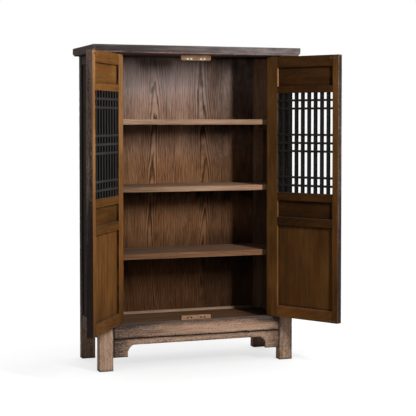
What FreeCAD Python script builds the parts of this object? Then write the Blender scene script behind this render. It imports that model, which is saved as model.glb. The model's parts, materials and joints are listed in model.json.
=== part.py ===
"""A Chinese book cabinet with two pivot-hung doors, shown with both doors standing open.

All lengths are millimetres. While the pieces are made, X runs along the width with 0 on the
centre line, Y runs from the front face of the legs (0) to the back, and Z runs up from the
floor. At the end everything moves along Y, so that the origin lies on the floor under the
centre of the whole outline with the doors open.
"""

import FreeCAD, Part
import math
import os

# Carcass
cabinet_height = 1600.0
body_width = 1022.0
body_depth = 410.0
leg_width = 70.0
leg_depth = 50.0
leg_tenon_width = 34.0
leg_tenon_depth = 20.0
leg_tenon_height = 18.0
leg_edge_round = 1.5

# Top board
board_thickness = 40.0
board_end_overhang = 32.0
board_front_overhang = 27.0
board_rear_overhang = 7.0
board_bevel_run = 9.0
board_bevel_drop = 13.0

# Front and rear rails, side rails
rail_top = 227.0
rail_height = 69.0
front_rail_depth = 48.0
front_rail_setback = 1.0
rear_rail_depth = 40.0
rear_rail_rise = 3.0
top_rail_height = 46.0
rear_top_rail_depth = 20.0
side_rail_thickness = 32.0
side_rail_setback = 2.0
rail_tenon_length = 30.0
rail_tenon_thickness = 12.0
rail_tenon_shoulder = 11.0
rail_edge_round = 1.5

# Apron under the front rail
apron_thickness = 18.0
apron_setback = 2.5
apron_drop = 103.0
bracket_drop = 162.0
bracket_width = 75.0
bracket_side_height = 25.0
bracket_curve_run = 27.0
bracket_curve_bulge = 4.5
apron_shadow_gap = 4.0
apron_tongue_thickness = 8.0
apron_tongue_setback = 5.0
apron_tongue_height = 8.0

# Panels and boards of the carcass
side_panel_thickness = 12.0
side_panel_recess = 7.0
back_panel_thickness = 10.0
back_panel_recess = 18.0
back_board_outer_seam = 262.0
back_board_gap = 0.6
back_board_lap = 9.0
bottom_board_thickness = 16.0
bottom_board_drop = 8.5
groove_depth = 8.0
groove_end_room = 1.0

# Shelves
bottom_shelf_thickness = 29.0
middle_shelf_thickness = 26.5
top_shelf_thickness = 27.0
shelf_setback = 73.0
shelf_room = 0.5
lowest_clear_height = 318.0
second_clear_height = 307.2
third_clear_height = 310.5
cleat_width = 18.0
cleat_height = 24.0

# Catch blocks with round magnets
catch_block_length = 158.0
catch_block_depth = 16.0
top_catch_height = 29.0
bottom_catch_height = 21.5
catch_clearance = 1.5
magnet_diameter = 9.0
magnet_length = 9.0
magnet_proud = 0.5
magnet_inner_offset = 26.0
magnet_outer_offset = 45.0
top_magnet_drop = 22.0
bottom_magnet_rise = 11.0
strike_head_diameter = 10.0
strike_head_thickness = 0.6
strike_shank_diameter = 4.0
strike_shank_length = 14.0

# Doors
door_thickness = 33.0
door_hinge_gap = 2.2
door_meeting_gap = 3.0
door_bottom_gap = 1.5
door_top_gap = 6.0
door_edge_round = 8.0
pivot_setback = 30.5
pivot_diameter = 18.0
pivot_clearance = 0.3
bottom_pivot_length = 6.5
top_pivot_length = 22.0
top_socket_room = 6.5
right_spare_angle = 4.8
left_spare_angle = 2.4

# Door frame, from the bottom up
hinge_stile_width = 70.5
free_stile_width = 33.5
bottom_rail_height = 57.5
low_rail_height = 42.0
middle_panel_height = 85.0
middle_rail_height = 40.0
lattice_height = 504.0
high_rail_height = 34.0
top_panel_height = 95.0
door_top_rail_height = 55.5
door_tenon_thickness = 10.0
door_tenon_shoulder = 9.0
hinge_tenon_length = 45.0
free_tenon_length = 22.0
door_panel_thickness = 9.0
door_groove_depth = 8.0
door_groove_room = 1.0

# Lattice
upright_count = 8
upright_width = 11.5
crossbar_height = 11.0
crossbar_short_gap = 30.3
crossbar_end_gap = 32.0
lattice_depth = 21.0
lattice_recess = 4.0
lattice_stub = 8.0
half_lap_share = 0.5

# One overrun serves every cut that leaves a face, and edges this near a place count as on it
cut_overrun = 1.0
edge_match = 0.1

# Heights and places that follow from the sizes above
inner_half = body_width / 2 - leg_width
board_underside = cabinet_height - board_thickness
rail_bottom = rail_top - rail_height
rear_leg_front = body_depth - leg_depth
bottom_board_top = rail_top - bottom_board_drop
side_panel_outer = body_width / 2 - side_panel_recess
side_panel_inner = side_panel_outer - side_panel_thickness
side_rail_outer = body_width / 2 - side_rail_setback
side_rail_inner = side_rail_outer - side_rail_thickness
back_panel_front = rear_leg_front + back_panel_recess
back_panel_rear = back_panel_front + back_panel_thickness
door_bottom = rail_top + door_bottom_gap
door_height = board_underside - door_top_gap - door_bottom
door_width = inner_half - door_hinge_gap - door_meeting_gap / 2
pivot_x = inner_half - door_hinge_gap - pivot_setback
pivot_y = door_thickness / 2
catch_front = door_thickness + catch_clearance

# A door opens until its outer face meets the leg's front corner, and stands a little short of that
stop_angle = 2 * math.degrees(math.atan2(door_hinge_gap + pivot_setback, door_thickness / 2))
right_open_angle = stop_angle - right_spare_angle
left_open_angle = stop_angle - left_spare_angle

UP = FreeCAD.Vector(0, 0, 1)
BACKWARD = FreeCAD.Vector(0, 1, 0)
CENTRE_PLANE_NORMAL = FreeCAD.Vector(1, 0, 0)
ORIGIN = FreeCAD.Vector(0, 0, 0)

nodes = {}


def box(x0, x1, y0, y1, z0, z1):
    """A block between two corners, given in any order."""
    corner = FreeCAD.Vector(min(x0, x1), min(y0, y1), min(z0, z1))
    return Part.makeBox(abs(x1 - x0), abs(y1 - y0), abs(z1 - z0), corner)


def round_edges(solid, radius, chosen):
    """The solid with the edges that the test picks rounded off."""
    edges = [edge for edge in solid.Edges if chosen(edge.BoundBox)]
    return solid.makeFillet(radius, edges)


def near(a, b):
    return abs(a - b) < edge_match


def is_upright(b):
    return near(b.XLength, 0) and near(b.YLength, 0)


def is_crosswise(b):
    return near(b.YLength, 0) and near(b.ZLength, 0)


def fused(pieces):
    """One clean solid from pieces that share faces."""
    return pieces[0].fuse(pieces[1:]).removeSplitter()


def add(name, *solids):
    """Keep a node: one solid, or a group of separate ones."""
    nodes[name] = list(solids)


def mirrored(solid):
    return solid.mirror(ORIGIN, CENTRE_PLANE_NORMAL)


def add_pair(name, right_solid):
    """The right piece and its mirror image on the left."""
    add("right_" + name, right_solid)
    add("left_" + name, mirrored(right_solid))


# Carcass pieces


def leg_blank(y0, y1):
    """A right leg with its tenon up into the top board."""
    post = box(inner_half, body_width / 2, y0, y1, 0, board_underside)
    post = round_edges(post, leg_edge_round, is_upright)
    middle_x = inner_half + leg_width / 2
    middle_y = (y0 + y1) / 2
    tenon = box(
        middle_x - leg_tenon_width / 2,
        middle_x + leg_tenon_width / 2,
        middle_y - leg_tenon_depth / 2,
        middle_y + leg_tenon_depth / 2,
        board_underside,
        board_underside + leg_tenon_height,
    )
    return fused([post, tenon])


def rail_tenon_heights(z0, z1):
    return z0 + rail_tenon_shoulder, z1 - rail_tenon_shoulder


def cross_rail(y0, y1, z0, z1, rounded=True):
    """A rail between the left and right legs, with a tenon into each."""
    body = box(-inner_half, inner_half, y0, y1, z0, z1)
    if rounded:
        body = round_edges(body, rail_edge_round, lambda b: is_crosswise(b) and near(b.YMin, y0))
    middle = (y0 + y1) / 2
    low, high = rail_tenon_heights(z0, z1)
    reach = inner_half + rail_tenon_length
    tenon = box(
        -reach,
        reach,
        middle - rail_tenon_thickness / 2,
        middle + rail_tenon_thickness / 2,
        low,
        high,
    )
    return fused([body, tenon])


def side_rail(z0, z1):
    """A right side rail between the front and rear legs, with a tenon into each."""
    body = box(side_rail_inner, side_rail_outer, leg_depth, rear_leg_front, z0, z1)
    middle = (side_rail_inner + side_rail_outer) / 2
    low, high = rail_tenon_heights(z0, z1)
    tenon = box(
        middle - rail_tenon_thickness / 2,
        middle + rail_tenon_thickness / 2,
        leg_depth - rail_tenon_length,
        rear_leg_front + rail_tenon_length,
        low,
        high,
    )
    return fused([body, tenon])


def side_panel(room=0.0):
    """The right side panel. With room, the space cut for it is that much longer each way."""
    reach = groove_depth + room
    return box(
        side_panel_inner,
        side_panel_outer,
        leg_depth - reach,
        rear_leg_front + reach,
        rail_top - reach,
        board_underside - top_rail_height + reach,
    )


def back_panel_space(room=0.0):
    reach = groove_depth + room
    return box(
        -inner_half - reach,
        inner_half + reach,
        back_panel_front,
        back_panel_rear,
        rail_top + rear_rail_rise - reach,
        board_underside,
    )


def back_boards():
    """The back panel as upright boards side by side, each with a half-thickness lip behind the next one's edge."""
    whole = back_panel_space()
    edges = [-inner_half, -back_board_outer_seam, 0, back_board_outer_seam, inner_half]
    middle = (back_panel_front + back_panel_rear) / 2
    boards = []
    for n, (left, right) in enumerate(zip(edges, edges[1:])):
        first, last = n == 0, n == len(edges) - 2
        left += -groove_depth if first else back_board_gap / 2
        right += groove_depth if last else -back_board_gap / 2
        front_half = box(left, right, back_panel_front, middle, 0, board_underside)
        rear_left = left if first else left + back_board_lap
        rear_right = right if last else right + back_board_lap
        rear_half = box(rear_left, rear_right, middle, back_panel_rear, 0, board_underside)
        slab = front_half.fuse(rear_half).removeSplitter()
        boards.append(whole.common(slab))
    return boards


def bottom_board(room=0.0):
    """The floor of the cabinet, with its edges in grooves and its corners cut for the legs."""
    reach = groove_depth + room
    front_edge = front_rail_setback + front_rail_depth
    board = box(
        -side_rail_inner - reach,
        side_rail_inner + reach,
        front_edge - reach,
        rear_leg_front + reach,
        bottom_board_top - bottom_board_thickness,
        bottom_board_top,
    )
    for side in (-1, 1):
        for y0, y1 in ((-cut_overrun, leg_depth), (rear_leg_front, body_depth)):
            corner = box(side * inner_half, side * body_width, y0, y1, 0, cabinet_height)
            board = board.cut(corner)
    return board


def apron():
    """The board under the front rail, with a bracket down each leg and a tongue up into the rail."""
    top = rail_bottom - apron_shadow_gap
    low = rail_top - apron_drop
    foot = rail_top - bracket_drop
    bend = foot + bracket_side_height
    inner = inner_half - bracket_width
    start = inner - bracket_curve_run
    chord = math.hypot(bracket_curve_run, low - bend)
    bulge_x = bracket_curve_bulge * (low - bend) / chord
    bulge_z = bracket_curve_bulge * bracket_curve_run / chord
    middle = ((inner + start) / 2 + bulge_x, (bend + low) / 2 + bulge_z)

    def at(side, x, z):
        return FreeCAD.Vector(side * x, apron_setback, z)

    edges = [
        Part.makeLine(at(-1, inner_half, top), at(1, inner_half, top)),
        Part.makeLine(at(-1, start, low), at(1, start, low)),
    ]
    for side in (-1, 1):
        curve = Part.Arc(at(side, inner, bend), at(side, *middle), at(side, start, low))
        edges += [
            Part.makeLine(at(side, inner_half, top), at(side, inner_half, foot)),
            Part.makeLine(at(side, inner_half, foot), at(side, inner, foot)),
            Part.makeLine(at(side, inner, foot), at(side, inner, bend)),
            curve.toShape(),
        ]
    outline = Part.Face(Part.Wire(Part.__sortEdges__(edges)))
    board = outline.extrude(BACKWARD * apron_thickness)
    return fused([board, apron_tongue()])


def apron_tongue():
    front = apron_setback + apron_tongue_setback
    return box(
        -inner_half,
        inner_half,
        front,
        front + apron_tongue_thickness,
        rail_bottom - apron_shadow_gap,
        rail_bottom + apron_tongue_height,
    )


def top_board():
    """The one-plank top, bevelled underneath at the front and both ends."""
    half = body_width / 2 + board_end_overhang
    front, rear = -board_front_overhang, body_depth + board_rear_overhang
    waist = board_underside + board_bevel_drop
    slab = box(-half, half, front, rear, waist, cabinet_height)

    def ring(run, z):
        corners = [
            FreeCAD.Vector(-half + run, front + run, z),
            FreeCAD.Vector(half - run, front + run, z),
            FreeCAD.Vector(half - run, rear, z),
            FreeCAD.Vector(-half + run, rear, z),
        ]
        return Part.makePolygon(corners + corners[:1])

    bevel = Part.makeLoft([ring(0, waist), ring(board_bevel_run, board_underside)], True, True)
    return fused([slab, bevel])


def pivot_pin(x, y, z0, z1, room=0.0):
    return Part.makeCylinder(
        pivot_diameter / 2 + room, z1 - z0, FreeCAD.Vector(x, y, z0), UP
    )


def pivot_sockets():
    """The four round holes that the door pivots turn in."""
    sockets = []
    for side in (-1, 1):
        x = side * pivot_x
        sockets.append(
            pivot_pin(x, pivot_y, door_bottom - bottom_pivot_length, door_bottom, pivot_clearance)
        )
        top = board_underside - door_top_gap + top_pivot_length + top_socket_room
        sockets.append(pivot_pin(x, pivot_y, board_underside, top, pivot_clearance))
    return sockets


def shelf(z0, z1):
    """A plank that runs back to the back boards, cut round the rear legs."""
    edge = side_panel_inner - shelf_room
    plank = box(-edge, edge, shelf_setback, back_panel_front, z0, z1)
    for side in (-1, 1):
        corner = box(
            side * (inner_half - shelf_room),
            side * body_width,
            rear_leg_front - shelf_room,
            body_depth,
            0,
            cabinet_height,
        )
        plank = plank.cut(corner)
    return plank


def shelf_cleat(shelf_bottom):
    return box(
        side_panel_inner - cleat_width,
        side_panel_inner,
        leg_depth,
        rear_leg_front,
        shelf_bottom - cleat_height,
        shelf_bottom,
    )


def catch_block(z0, z1):
    half = catch_block_length / 2
    return box(-half, half, catch_front, catch_front + catch_block_depth, z0, z1)


def magnets(z):
    """Two round magnets for each door, let into the front of a catch block."""
    places = [s * x for s in (-1, 1) for x in (magnet_inner_offset, magnet_outer_offset)]
    start = catch_front - magnet_proud
    return [
        Part.makeCylinder(
            magnet_diameter / 2, magnet_length, FreeCAD.Vector(x, start, z), BACKWARD
        )
        for x in sorted(places)
    ]


def build_carcass():
    front_leg = leg_blank(0, leg_depth)
    rear_leg = leg_blank(rear_leg_front, body_depth)
    front_rail = cross_rail(
        front_rail_setback, front_rail_setback + front_rail_depth, rail_bottom, rail_top
    )
    rear_bottom_rail = cross_rail(
        rear_leg_front,
        rear_leg_front + rear_rail_depth,
        rail_bottom,
        rail_top + rear_rail_rise,
        rounded=False,
    )
    rear_top_rail = cross_rail(
        back_panel_rear,
        back_panel_rear + rear_top_rail_depth,
        board_underside - top_rail_height,
        board_underside,
        rounded=False,
    )
    low_side_rail = side_rail(rail_bottom, rail_top)
    high_side_rail = side_rail(board_underside - top_rail_height, board_underside)
    panel = side_panel()
    panel_space = side_panel(groove_end_room)
    back_space = back_panel_space(groove_end_room)
    floor_board = bottom_board()
    floor_space = bottom_board(groove_end_room)

    side_joints = [low_side_rail, high_side_rail, panel_space]
    rear_joints = side_joints + [rear_bottom_rail, rear_top_rail, back_space]
    add_pair("front_leg", front_leg.cut(side_joints + [front_rail]))
    add_pair("rear_leg", rear_leg.cut(rear_joints))
    add("front_rail", front_rail.cut([floor_space, apron_tongue()] + pivot_sockets()))
    add("front_apron", apron())
    add("rear_bottom_rail", rear_bottom_rail.cut([floor_space, back_space]))
    add("rear_top_rail", rear_top_rail)
    add_pair("bottom_side_rail", low_side_rail.cut([panel_space, floor_space]))
    add_pair("top_side_rail", high_side_rail.cut(panel_space))
    add_pair("side_panel", panel)
    for number, board in enumerate(back_boards(), 1):
        add(f"back_board_{number}", board)
    add("bottom_board", floor_board)
    legs = [front_leg, rear_leg, mirrored(front_leg), mirrored(rear_leg)]
    add("top_board", top_board().cut(legs + pivot_sockets()))


def build_shelves():
    z = bottom_board_top
    for name, clear, thickness in (
        ("bottom_shelf", lowest_clear_height, bottom_shelf_thickness),
        ("middle_shelf", second_clear_height, middle_shelf_thickness),
        ("top_shelf", third_clear_height, top_shelf_thickness),
    ):
        z += clear
        add(name, shelf(z, z + thickness))
        add_pair(name + "_cleat", shelf_cleat(z))
        z += thickness


def build_catches():
    top_magnets = magnets(board_underside - top_magnet_drop)
    bottom_magnets = magnets(rail_top + bottom_magnet_rise)
    top_block = catch_block(board_underside - top_catch_height, board_underside)
    bottom_block = catch_block(rail_top, rail_top + bottom_catch_height)
    add("top_catch_block", top_block.cut(top_magnets))
    add("bottom_catch_block", bottom_block.cut(bottom_magnets))
    add("top_magnets", *top_magnets)
    add("bottom_magnets", *bottom_magnets)


# Door pieces, made as the closed right door with its pivot axis through the origin:
# the hinge edge lies at +X, the outer face at -Y, and Z is measured in the cabinet.


def across(u):
    """The place along X of a point that far from the hinge edge."""
    return pivot_setback - u


def through(v):
    """The place along Y of a point that far behind the outer face."""
    return v - door_thickness / 2


def door_box(u0, u1, v0, v1, z0, z1):
    return box(across(u0), across(u1), through(v0), through(v1), z0, z1)


def door_levels():
    """The bottom and top of each rail and of each opening, from the floor."""
    fixed = [
        ("bottom_rail", bottom_rail_height),
        ("lower_panel", None),
        ("low_rail", low_rail_height),
        ("middle_panel", middle_panel_height),
        ("middle_rail", middle_rail_height),
        ("lattice", lattice_height),
        ("high_rail", high_rail_height),
        ("top_panel", top_panel_height),
        ("top_rail", door_top_rail_height),
    ]
    rest = door_height - sum(size for _, size in fixed if size is not None)
    levels, z = {}, door_bottom
    for name, size in fixed:
        top = z + (rest if size is None else size)
        levels[name] = (z, top)
        z = top
    return levels


def door_rail(z0, z1):
    """A rail with a tenon into each stile."""
    body = door_box(hinge_stile_width, door_width - free_stile_width, 0, door_thickness, z0, z1)
    v0 = (door_thickness - door_tenon_thickness) / 2
    tenon = door_box(
        hinge_stile_width - hinge_tenon_length,
        door_width - free_stile_width + free_tenon_length,
        v0,
        v0 + door_tenon_thickness,
        z0 + door_tenon_shoulder,
        z1 - door_tenon_shoulder,
    )
    return fused([body, tenon])


def door_panel(z0, z1, room=0.0):
    """A thin panel held in grooves all round. With room, the space cut for it."""
    reach = door_groove_depth - door_groove_room + room
    v0 = (door_thickness - door_panel_thickness) / 2
    return door_box(
        hinge_stile_width - reach,
        door_width - free_stile_width + reach,
        v0,
        v0 + door_panel_thickness,
        z0 - reach,
        z1 + reach,
    )


def lattice_depths(part_share):
    """Where a lattice bar starts and ends in the door's thickness, for a share of its depth."""
    start = door_thickness - lattice_recess - lattice_depth
    first, last = part_share
    return start + first * lattice_depth, start + last * lattice_depth


def lattice_uprights(z0, z1, part_share=(0, 1)):
    """Evenly spaced upright bars, with both ends let into the rails."""
    opening = door_width - hinge_stile_width - free_stile_width
    pitch = (opening + upright_width) / (upright_count + 1)
    v0, v1 = lattice_depths(part_share)
    bars = []
    for n in range(1, upright_count + 1):
        u = hinge_stile_width + n * pitch - upright_width
        bars.append(
            door_box(u, u + upright_width, v0, v1, z0 - lattice_stub, z1 + lattice_stub)
        )
    return bars


def crossbar_bottoms(z0, z1):
    """Where the crossbars start: two low, three in the middle and two high."""
    step = crossbar_height + crossbar_short_gap
    middle = (z0 + z1 - crossbar_height) / 2
    low = z0 + crossbar_end_gap
    high = z1 - crossbar_end_gap - crossbar_height
    return [low, low + step, middle - step, middle, middle + step, high - step, high]


def lattice_crossbars(z0, z1, part_share=(0, 1)):
    """Level bars with both ends let into the stiles."""
    u0 = hinge_stile_width - lattice_stub
    u1 = door_width - free_stile_width + lattice_stub
    v0, v1 = lattice_depths(part_share)
    return [
        door_box(u0, u1, v0, v1, z, z + crossbar_height) for z in crossbar_bottoms(z0, z1)
    ]


def hinge_stile():
    """The wide stile, round on its hinge edge, with the two pivots in one piece with it."""
    top = door_bottom + door_height
    stile = door_box(0, hinge_stile_width, 0, door_thickness, door_bottom, top)
    edge_x = across(0)
    stile = round_edges(
        stile, door_edge_round, lambda b: is_upright(b) and near(b.XMin, edge_x)
    )
    low_pin = pivot_pin(0, 0, door_bottom - bottom_pivot_length, door_bottom)
    high_pin = pivot_pin(0, 0, top, top + top_pivot_length)
    return fused([stile, low_pin, high_pin])


def strike_screws():
    """The steel screws that the magnets hold, two at the top of a door and two at the bottom."""
    screws = []
    for z in (board_underside - top_magnet_drop, rail_top + bottom_magnet_rise):
        for offset in (magnet_inner_offset, magnet_outer_offset):
            x = offset - pivot_x
            face = door_thickness / 2
            head = Part.makeCylinder(
                strike_head_diameter / 2, strike_head_thickness, FreeCAD.Vector(x, face, z), BACKWARD
            )
            shank = Part.makeCylinder(
                strike_shank_diameter / 2,
                strike_shank_length,
                FreeCAD.Vector(x, face - strike_shank_length, z),
                BACKWARD,
            )
            screws.append(fused([head, shank]))
    return screws


def door_pieces():
    """Every piece of the closed right door, by name."""
    levels = door_levels()
    rails = {n: door_rail(*levels[n]) for n in levels if n.endswith("rail")}
    panels = {n: door_panel(*levels[n]) for n in levels if n.endswith("panel")}
    spaces = [door_panel(*levels[n], room=door_groove_room) for n in panels]
    window = levels["lattice"]
    uprights = lattice_uprights(*window)
    crossbars = lattice_crossbars(*window)
    screws = strike_screws()
    grooves = spaces + uprights + crossbars
    stile_cuts = grooves + list(rails.values())
    free_stile = door_box(
        door_width - free_stile_width,
        door_width,
        0,
        door_thickness,
        door_bottom,
        door_bottom + door_height,
    )
    pieces = {
        "hinge_stile": [hinge_stile().cut(stile_cuts)],
        "free_stile": [free_stile.cut(stile_cuts + screws)],
    }
    for name, rail in rails.items():
        pieces[name] = [rail.cut(spaces + uprights + screws)]
    for name, panel in panels.items():
        pieces[name] = [panel]
    front_halves = lattice_crossbars(*window, part_share=(half_lap_share, 1))
    rear_halves = lattice_uprights(*window, part_share=(0, half_lap_share))
    pieces["lattice_uprights"] = [bar.cut(front_halves) for bar in uprights]
    pieces["lattice_crossbars"] = [bar.cut(rear_halves) for bar in crossbars]
    pieces["strike_screws"] = screws
    return pieces


def stand_open(solid, side, angle):
    """A door piece turned about its pivot and set in its place, on the right or the left."""
    placed = solid if side > 0 else mirrored(solid)
    placed.rotate(ORIGIN, UP, side * angle)
    placed.translate(FreeCAD.Vector(side * pivot_x, pivot_y, 0))
    return placed


def build_doors():
    pieces = door_pieces()
    for name, solids in pieces.items():
        add("left_door_" + name, *[stand_open(s.copy(), -1, left_open_angle) for s in solids])
    for name, solids in pieces.items():
        add("right_door_" + name, *[stand_open(s.copy(), 1, right_open_angle) for s in solids])


def centre_outline():
    """Move everything along Y, so that the outline from above is centred on the origin."""
    bounds = Part.makeCompound([s for solids in nodes.values() for s in solids]).BoundBox
    shift = FreeCAD.Vector(0, -(bounds.YMin + bounds.YMax) / 2, 0)
    for solids in nodes.values():
        for solid in solids:
            solid.translate(shift)
    print("front of the legs at Y", round(shift.y, 3))
    print("pivot axes at X", round(pivot_x, 3), "and Y", round(pivot_y + shift.y, 3))
    print("doors stand open at", round(left_open_angle, 3), "and", round(right_open_angle, 3))


def write_steps():
    os.makedirs("parts", exist_ok=True)
    for name, solids in nodes.items():
        shape = solids[0] if len(solids) == 1 else Part.makeCompound(solids)
        shape.exportStep(f"parts/{name}.step")
        print(name, len(solids), "solid" if len(solids) == 1 else "solids")


build_carcass()
build_shelves()
build_catches()
build_doors()
centre_outline()
write_steps()
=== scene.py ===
import json
import math
from collections import namedtuple
from types import SimpleNamespace
import bpy
import numpy as np
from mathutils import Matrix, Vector, noise


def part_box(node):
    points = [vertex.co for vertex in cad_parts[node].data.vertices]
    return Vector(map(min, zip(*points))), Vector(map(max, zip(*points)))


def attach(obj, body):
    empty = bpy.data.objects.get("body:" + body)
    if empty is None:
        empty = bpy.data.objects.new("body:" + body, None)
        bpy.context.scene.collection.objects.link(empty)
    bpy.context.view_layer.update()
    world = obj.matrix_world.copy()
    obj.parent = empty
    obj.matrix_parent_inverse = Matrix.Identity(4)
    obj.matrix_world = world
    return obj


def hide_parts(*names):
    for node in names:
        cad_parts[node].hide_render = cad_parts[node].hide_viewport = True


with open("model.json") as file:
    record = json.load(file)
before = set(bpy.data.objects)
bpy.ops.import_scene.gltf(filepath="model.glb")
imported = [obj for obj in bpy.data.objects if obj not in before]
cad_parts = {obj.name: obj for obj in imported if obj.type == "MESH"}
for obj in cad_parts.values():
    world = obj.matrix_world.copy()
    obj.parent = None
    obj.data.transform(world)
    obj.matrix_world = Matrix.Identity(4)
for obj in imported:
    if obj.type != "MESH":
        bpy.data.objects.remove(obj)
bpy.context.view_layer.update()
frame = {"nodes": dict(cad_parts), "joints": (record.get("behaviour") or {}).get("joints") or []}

MM = 0.001
# Columns of a point. OUT is its distance from the cabinet's centre plane
X, Y, Z, OUT = range(4)
SIDES = {"left": -1, "right": 1}

# Amounts over a surface


def smooth(start, full, value):
    """0 up to start, 1 from full on and smooth between them. start may be the higher of the two."""
    share = np.clip((np.asarray(value, float) - start) / (full - start), 0.0, 1.0)
    return share * share * (3.0 - 2.0 * share)


def overlap(points, *fades):
    """1 where all fades are full. A fade holds an axis, where it starts on it and where it is full."""
    columns = np.column_stack([points, np.abs(points[:, X])])
    held = np.ones(len(points))
    for axis, start, full in fades:
        held = held * smooth(start, full, columns[:, axis])
    return held


def beside(axis, place, start, full):
    """A fade that starts and is full at distances from a place, in millimetres."""
    return (axis, place + start * MM, place + full * MM)


def layered(base_share, *layers):
    """An amount over a surface: the base and, for each layer, its share where all its fades are full."""
    def at(points):
        amount = np.full(len(points), float(base_share))
        for share, *fades in layers:
            amount = amount + share * overlap(points, *fades)
        return amount
    return at


def highest(*amounts):
    """The highest of several amounts at each point."""
    def at(points):
        return np.max([amount(points) for amount in amounts], axis=0)
    return at


def field(points, scale, shift):
    """Smooth noise from 0 to 1 at each point, with scale in cycles per metre."""
    scaled = points * scale + shift
    return np.array([noise.noise(Vector(row)) for row in scaled]) * 0.5 + 0.5


# Grids and parts

RIM_SHARES = (0.0, 0.22, 0.55, 1.0, 1.9)
WIDEST_RIM_SHARE = 0.3
LEAST_GAP = 0.02 * MM
LEAST_RADIUS = 0.05 * MM
WIDEST_RADIUS_SHARE = 0.95
JOINT_RADIUS = 0.35 * MM
JOINT_REACH = 18 * MM
STANDING_REACH = 8 * MM
TURNED_EDGE = 4 * MM
SHARP_ANGLE = math.radians(50)

# How worn each kind of piece is, in millimetres: edge rounding, chips, sunken faces, grid pitch and rim
Look = namedtuple("Look", "radius chip sag pitch rim")
LOOK_SIZES = {
    "leg": (1.6, 3.2, 0.5, 9, 2.4),
    "rail": (1.0, 1.5, 0.35, 9, 2.2),
    "board": (1.2, 1.8, 0.4, 14, 1.8),
    "crown": (2.0, 3.0, 0.5, 11, 2.6),
    "shelf": (1.1, 1.6, 0.4, 14, 1.8),
    "stile": (1.0, 1.4, 0.25, 10, 1.6),
    "panel": (0.5, 0.2, 0.5, 14, 0.9),
    "lap": (0.4, 0.3, 0.2, 16, 0.9),
    "bar": (0.7, 0.6, 0.15, 13, 1.0),
    "block": (1.0, 0.6, 0.1, 8, 1.6),
}
LOOKS = {kind: Look(*[size * MM for size in sizes]) for kind, sizes in LOOK_SIZES.items()}

# Noise in the wear of edges and faces: cycles per metre and shift, and the steps that set pieces apart in it
EDGE_NOISE = (38.0, 0.0)
CHIP_NOISE = (55.0, 3.1)
SAG_NOISE = (7.0, 9.7)
FINE_SAG_NOISE = (31.0, 5.2)
PIECE_STEP = 7.3
PLACE_STEP = 37.0
LEAST_ROUND_SHARE = 0.45
ROUND_SWING_SHARE = 1.1
CHIPPED = (0.60, 0.86)
FINE_SAG_SHARE = 0.3
FREE_ENDS = (False, False)
pieces_made = []


def span(node):
    low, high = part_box(node)
    return np.array(low), np.array(high)


def stops(low, high, kind, extra=()):
    """Positions from low to high, close together near both ends."""
    rims = [share * kind.rim for share in RIM_SHARES if share * kind.rim < (high - low) * WIDEST_RIM_SHARE]
    inner_low = low + rims[-1]
    inner_high = high - rims[-1]
    count = max(1, int(round((inner_high - inner_low) / kind.pitch)))
    values = [low + rim for rim in rims[:-1]] + [high - rim for rim in rims[:-1]]
    values += list(np.linspace(inner_low, inner_high, count + 1))
    values += [value for value in extra if low < value < high]
    values = np.array(sorted(values))
    return values[np.concatenate([[True], np.diff(values) > LEAST_GAP])]


def shell(*axes):
    """Points and outward quads of a closed box grid."""
    last = [len(places) - 1 for places in axes]
    index = {}
    points = []
    quads = []

    def corner(axis, level, pair):
        key = pair[:axis] + (level,) + pair[axis:]
        if key not in index:
            index[key] = len(points)
            points.append([places[step] for places, step in zip(axes, key)])
        return index[key]

    for axis in (Z, Y, X):
        first, second = [other for other in (X, Y, Z) if other != axis]
        for i in range(last[first]):
            for j in range(last[second]):
                ring = [(i, j), (i, j + 1), (i + 1, j + 1), (i + 1, j)]
                if axis == Y:
                    ring = ring[:1] + ring[:0:-1]
                quads.append([corner(axis, 0, pair) for pair in ring])
                quads.append([corner(axis, last[axis], pair) for pair in reversed(ring)])
    return np.array(points), quads


def soften(points, low, high, radius, sag):
    """Rounds the edges of a box grid by radius and lets its faces sink by sag, never outward."""
    centre = (low + high) / 2
    half = (high - low) / 2
    radius = np.clip(radius, LEAST_RADIUS, half.min(axis=-1) * WIDEST_RADIUS_SHARE)[:, None]
    place = points - centre
    core = np.clip(place, radius - half, half - radius)
    out = place - core
    length = np.linalg.norm(out, axis=1, keepdims=True)
    direction = out / np.maximum(length, 1e-9)
    return centre + core + direction * (np.minimum(length, radius) - sag[:, None])


def edge_distance(points, low, high):
    """Distance from each surface point to the nearest edge of its box."""
    inside = np.minimum(points - low, high - points)
    return np.maximum(np.sort(inside, axis=1)[:, 1], 0.0)


def plank(low, high, along, look, joined=(True, True), radius_at=None, shape=None, stands=False,
          extra=None):
    """One worn board between two corners. along is the axis its grain runs on, and extra holds more grid
    places by axis."""
    kind = LOOKS[look]
    low = np.array(low, float)
    high = np.array(high, float)
    extra = extra or {}
    points, quads = shell(*[stops(low[a], high[a], kind, extra.get(a, ())) for a in (X, Y, Z)])
    seed = PIECE_STEP * (len(pieces_made) + 1) + PLACE_STEP * abs(low).sum()

    def wear_noise(scale, shift):
        return field(points, scale, seed + shift)

    radius = kind.radius * (LEAST_ROUND_SHARE + ROUND_SWING_SHARE * wear_noise(*EDGE_NOISE))
    radius = radius + kind.chip * smooth(*CHIPPED, wear_noise(*CHIP_NOISE))
    for end, is_joined in zip((low[along], high[along]), joined):
        if is_joined:
            near = smooth(JOINT_REACH, 0.0, np.abs(points[:, along] - end))
            radius = radius * (1.0 - near) + JOINT_RADIUS * near
    if radius_at is not None:
        radius = radius_at(points, radius)
    sag = (1.0 - FINE_SAG_SHARE) * wear_noise(*SAG_NOISE) + FINE_SAG_SHARE * wear_noise(*FINE_SAG_NOISE)
    sag = kind.sag * sag
    if stands:
        sag = sag * smooth(low[Z], low[Z] + STANDING_REACH, points[:, Z])
    soft = soften(points, low, high, radius, sag)
    if shape is not None:
        soft = shape(soft)
    edge = edge_distance(points, low, high)
    return dict(points=soft, quads=quads, low=low, high=high, along=along, edge=edge)


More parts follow.
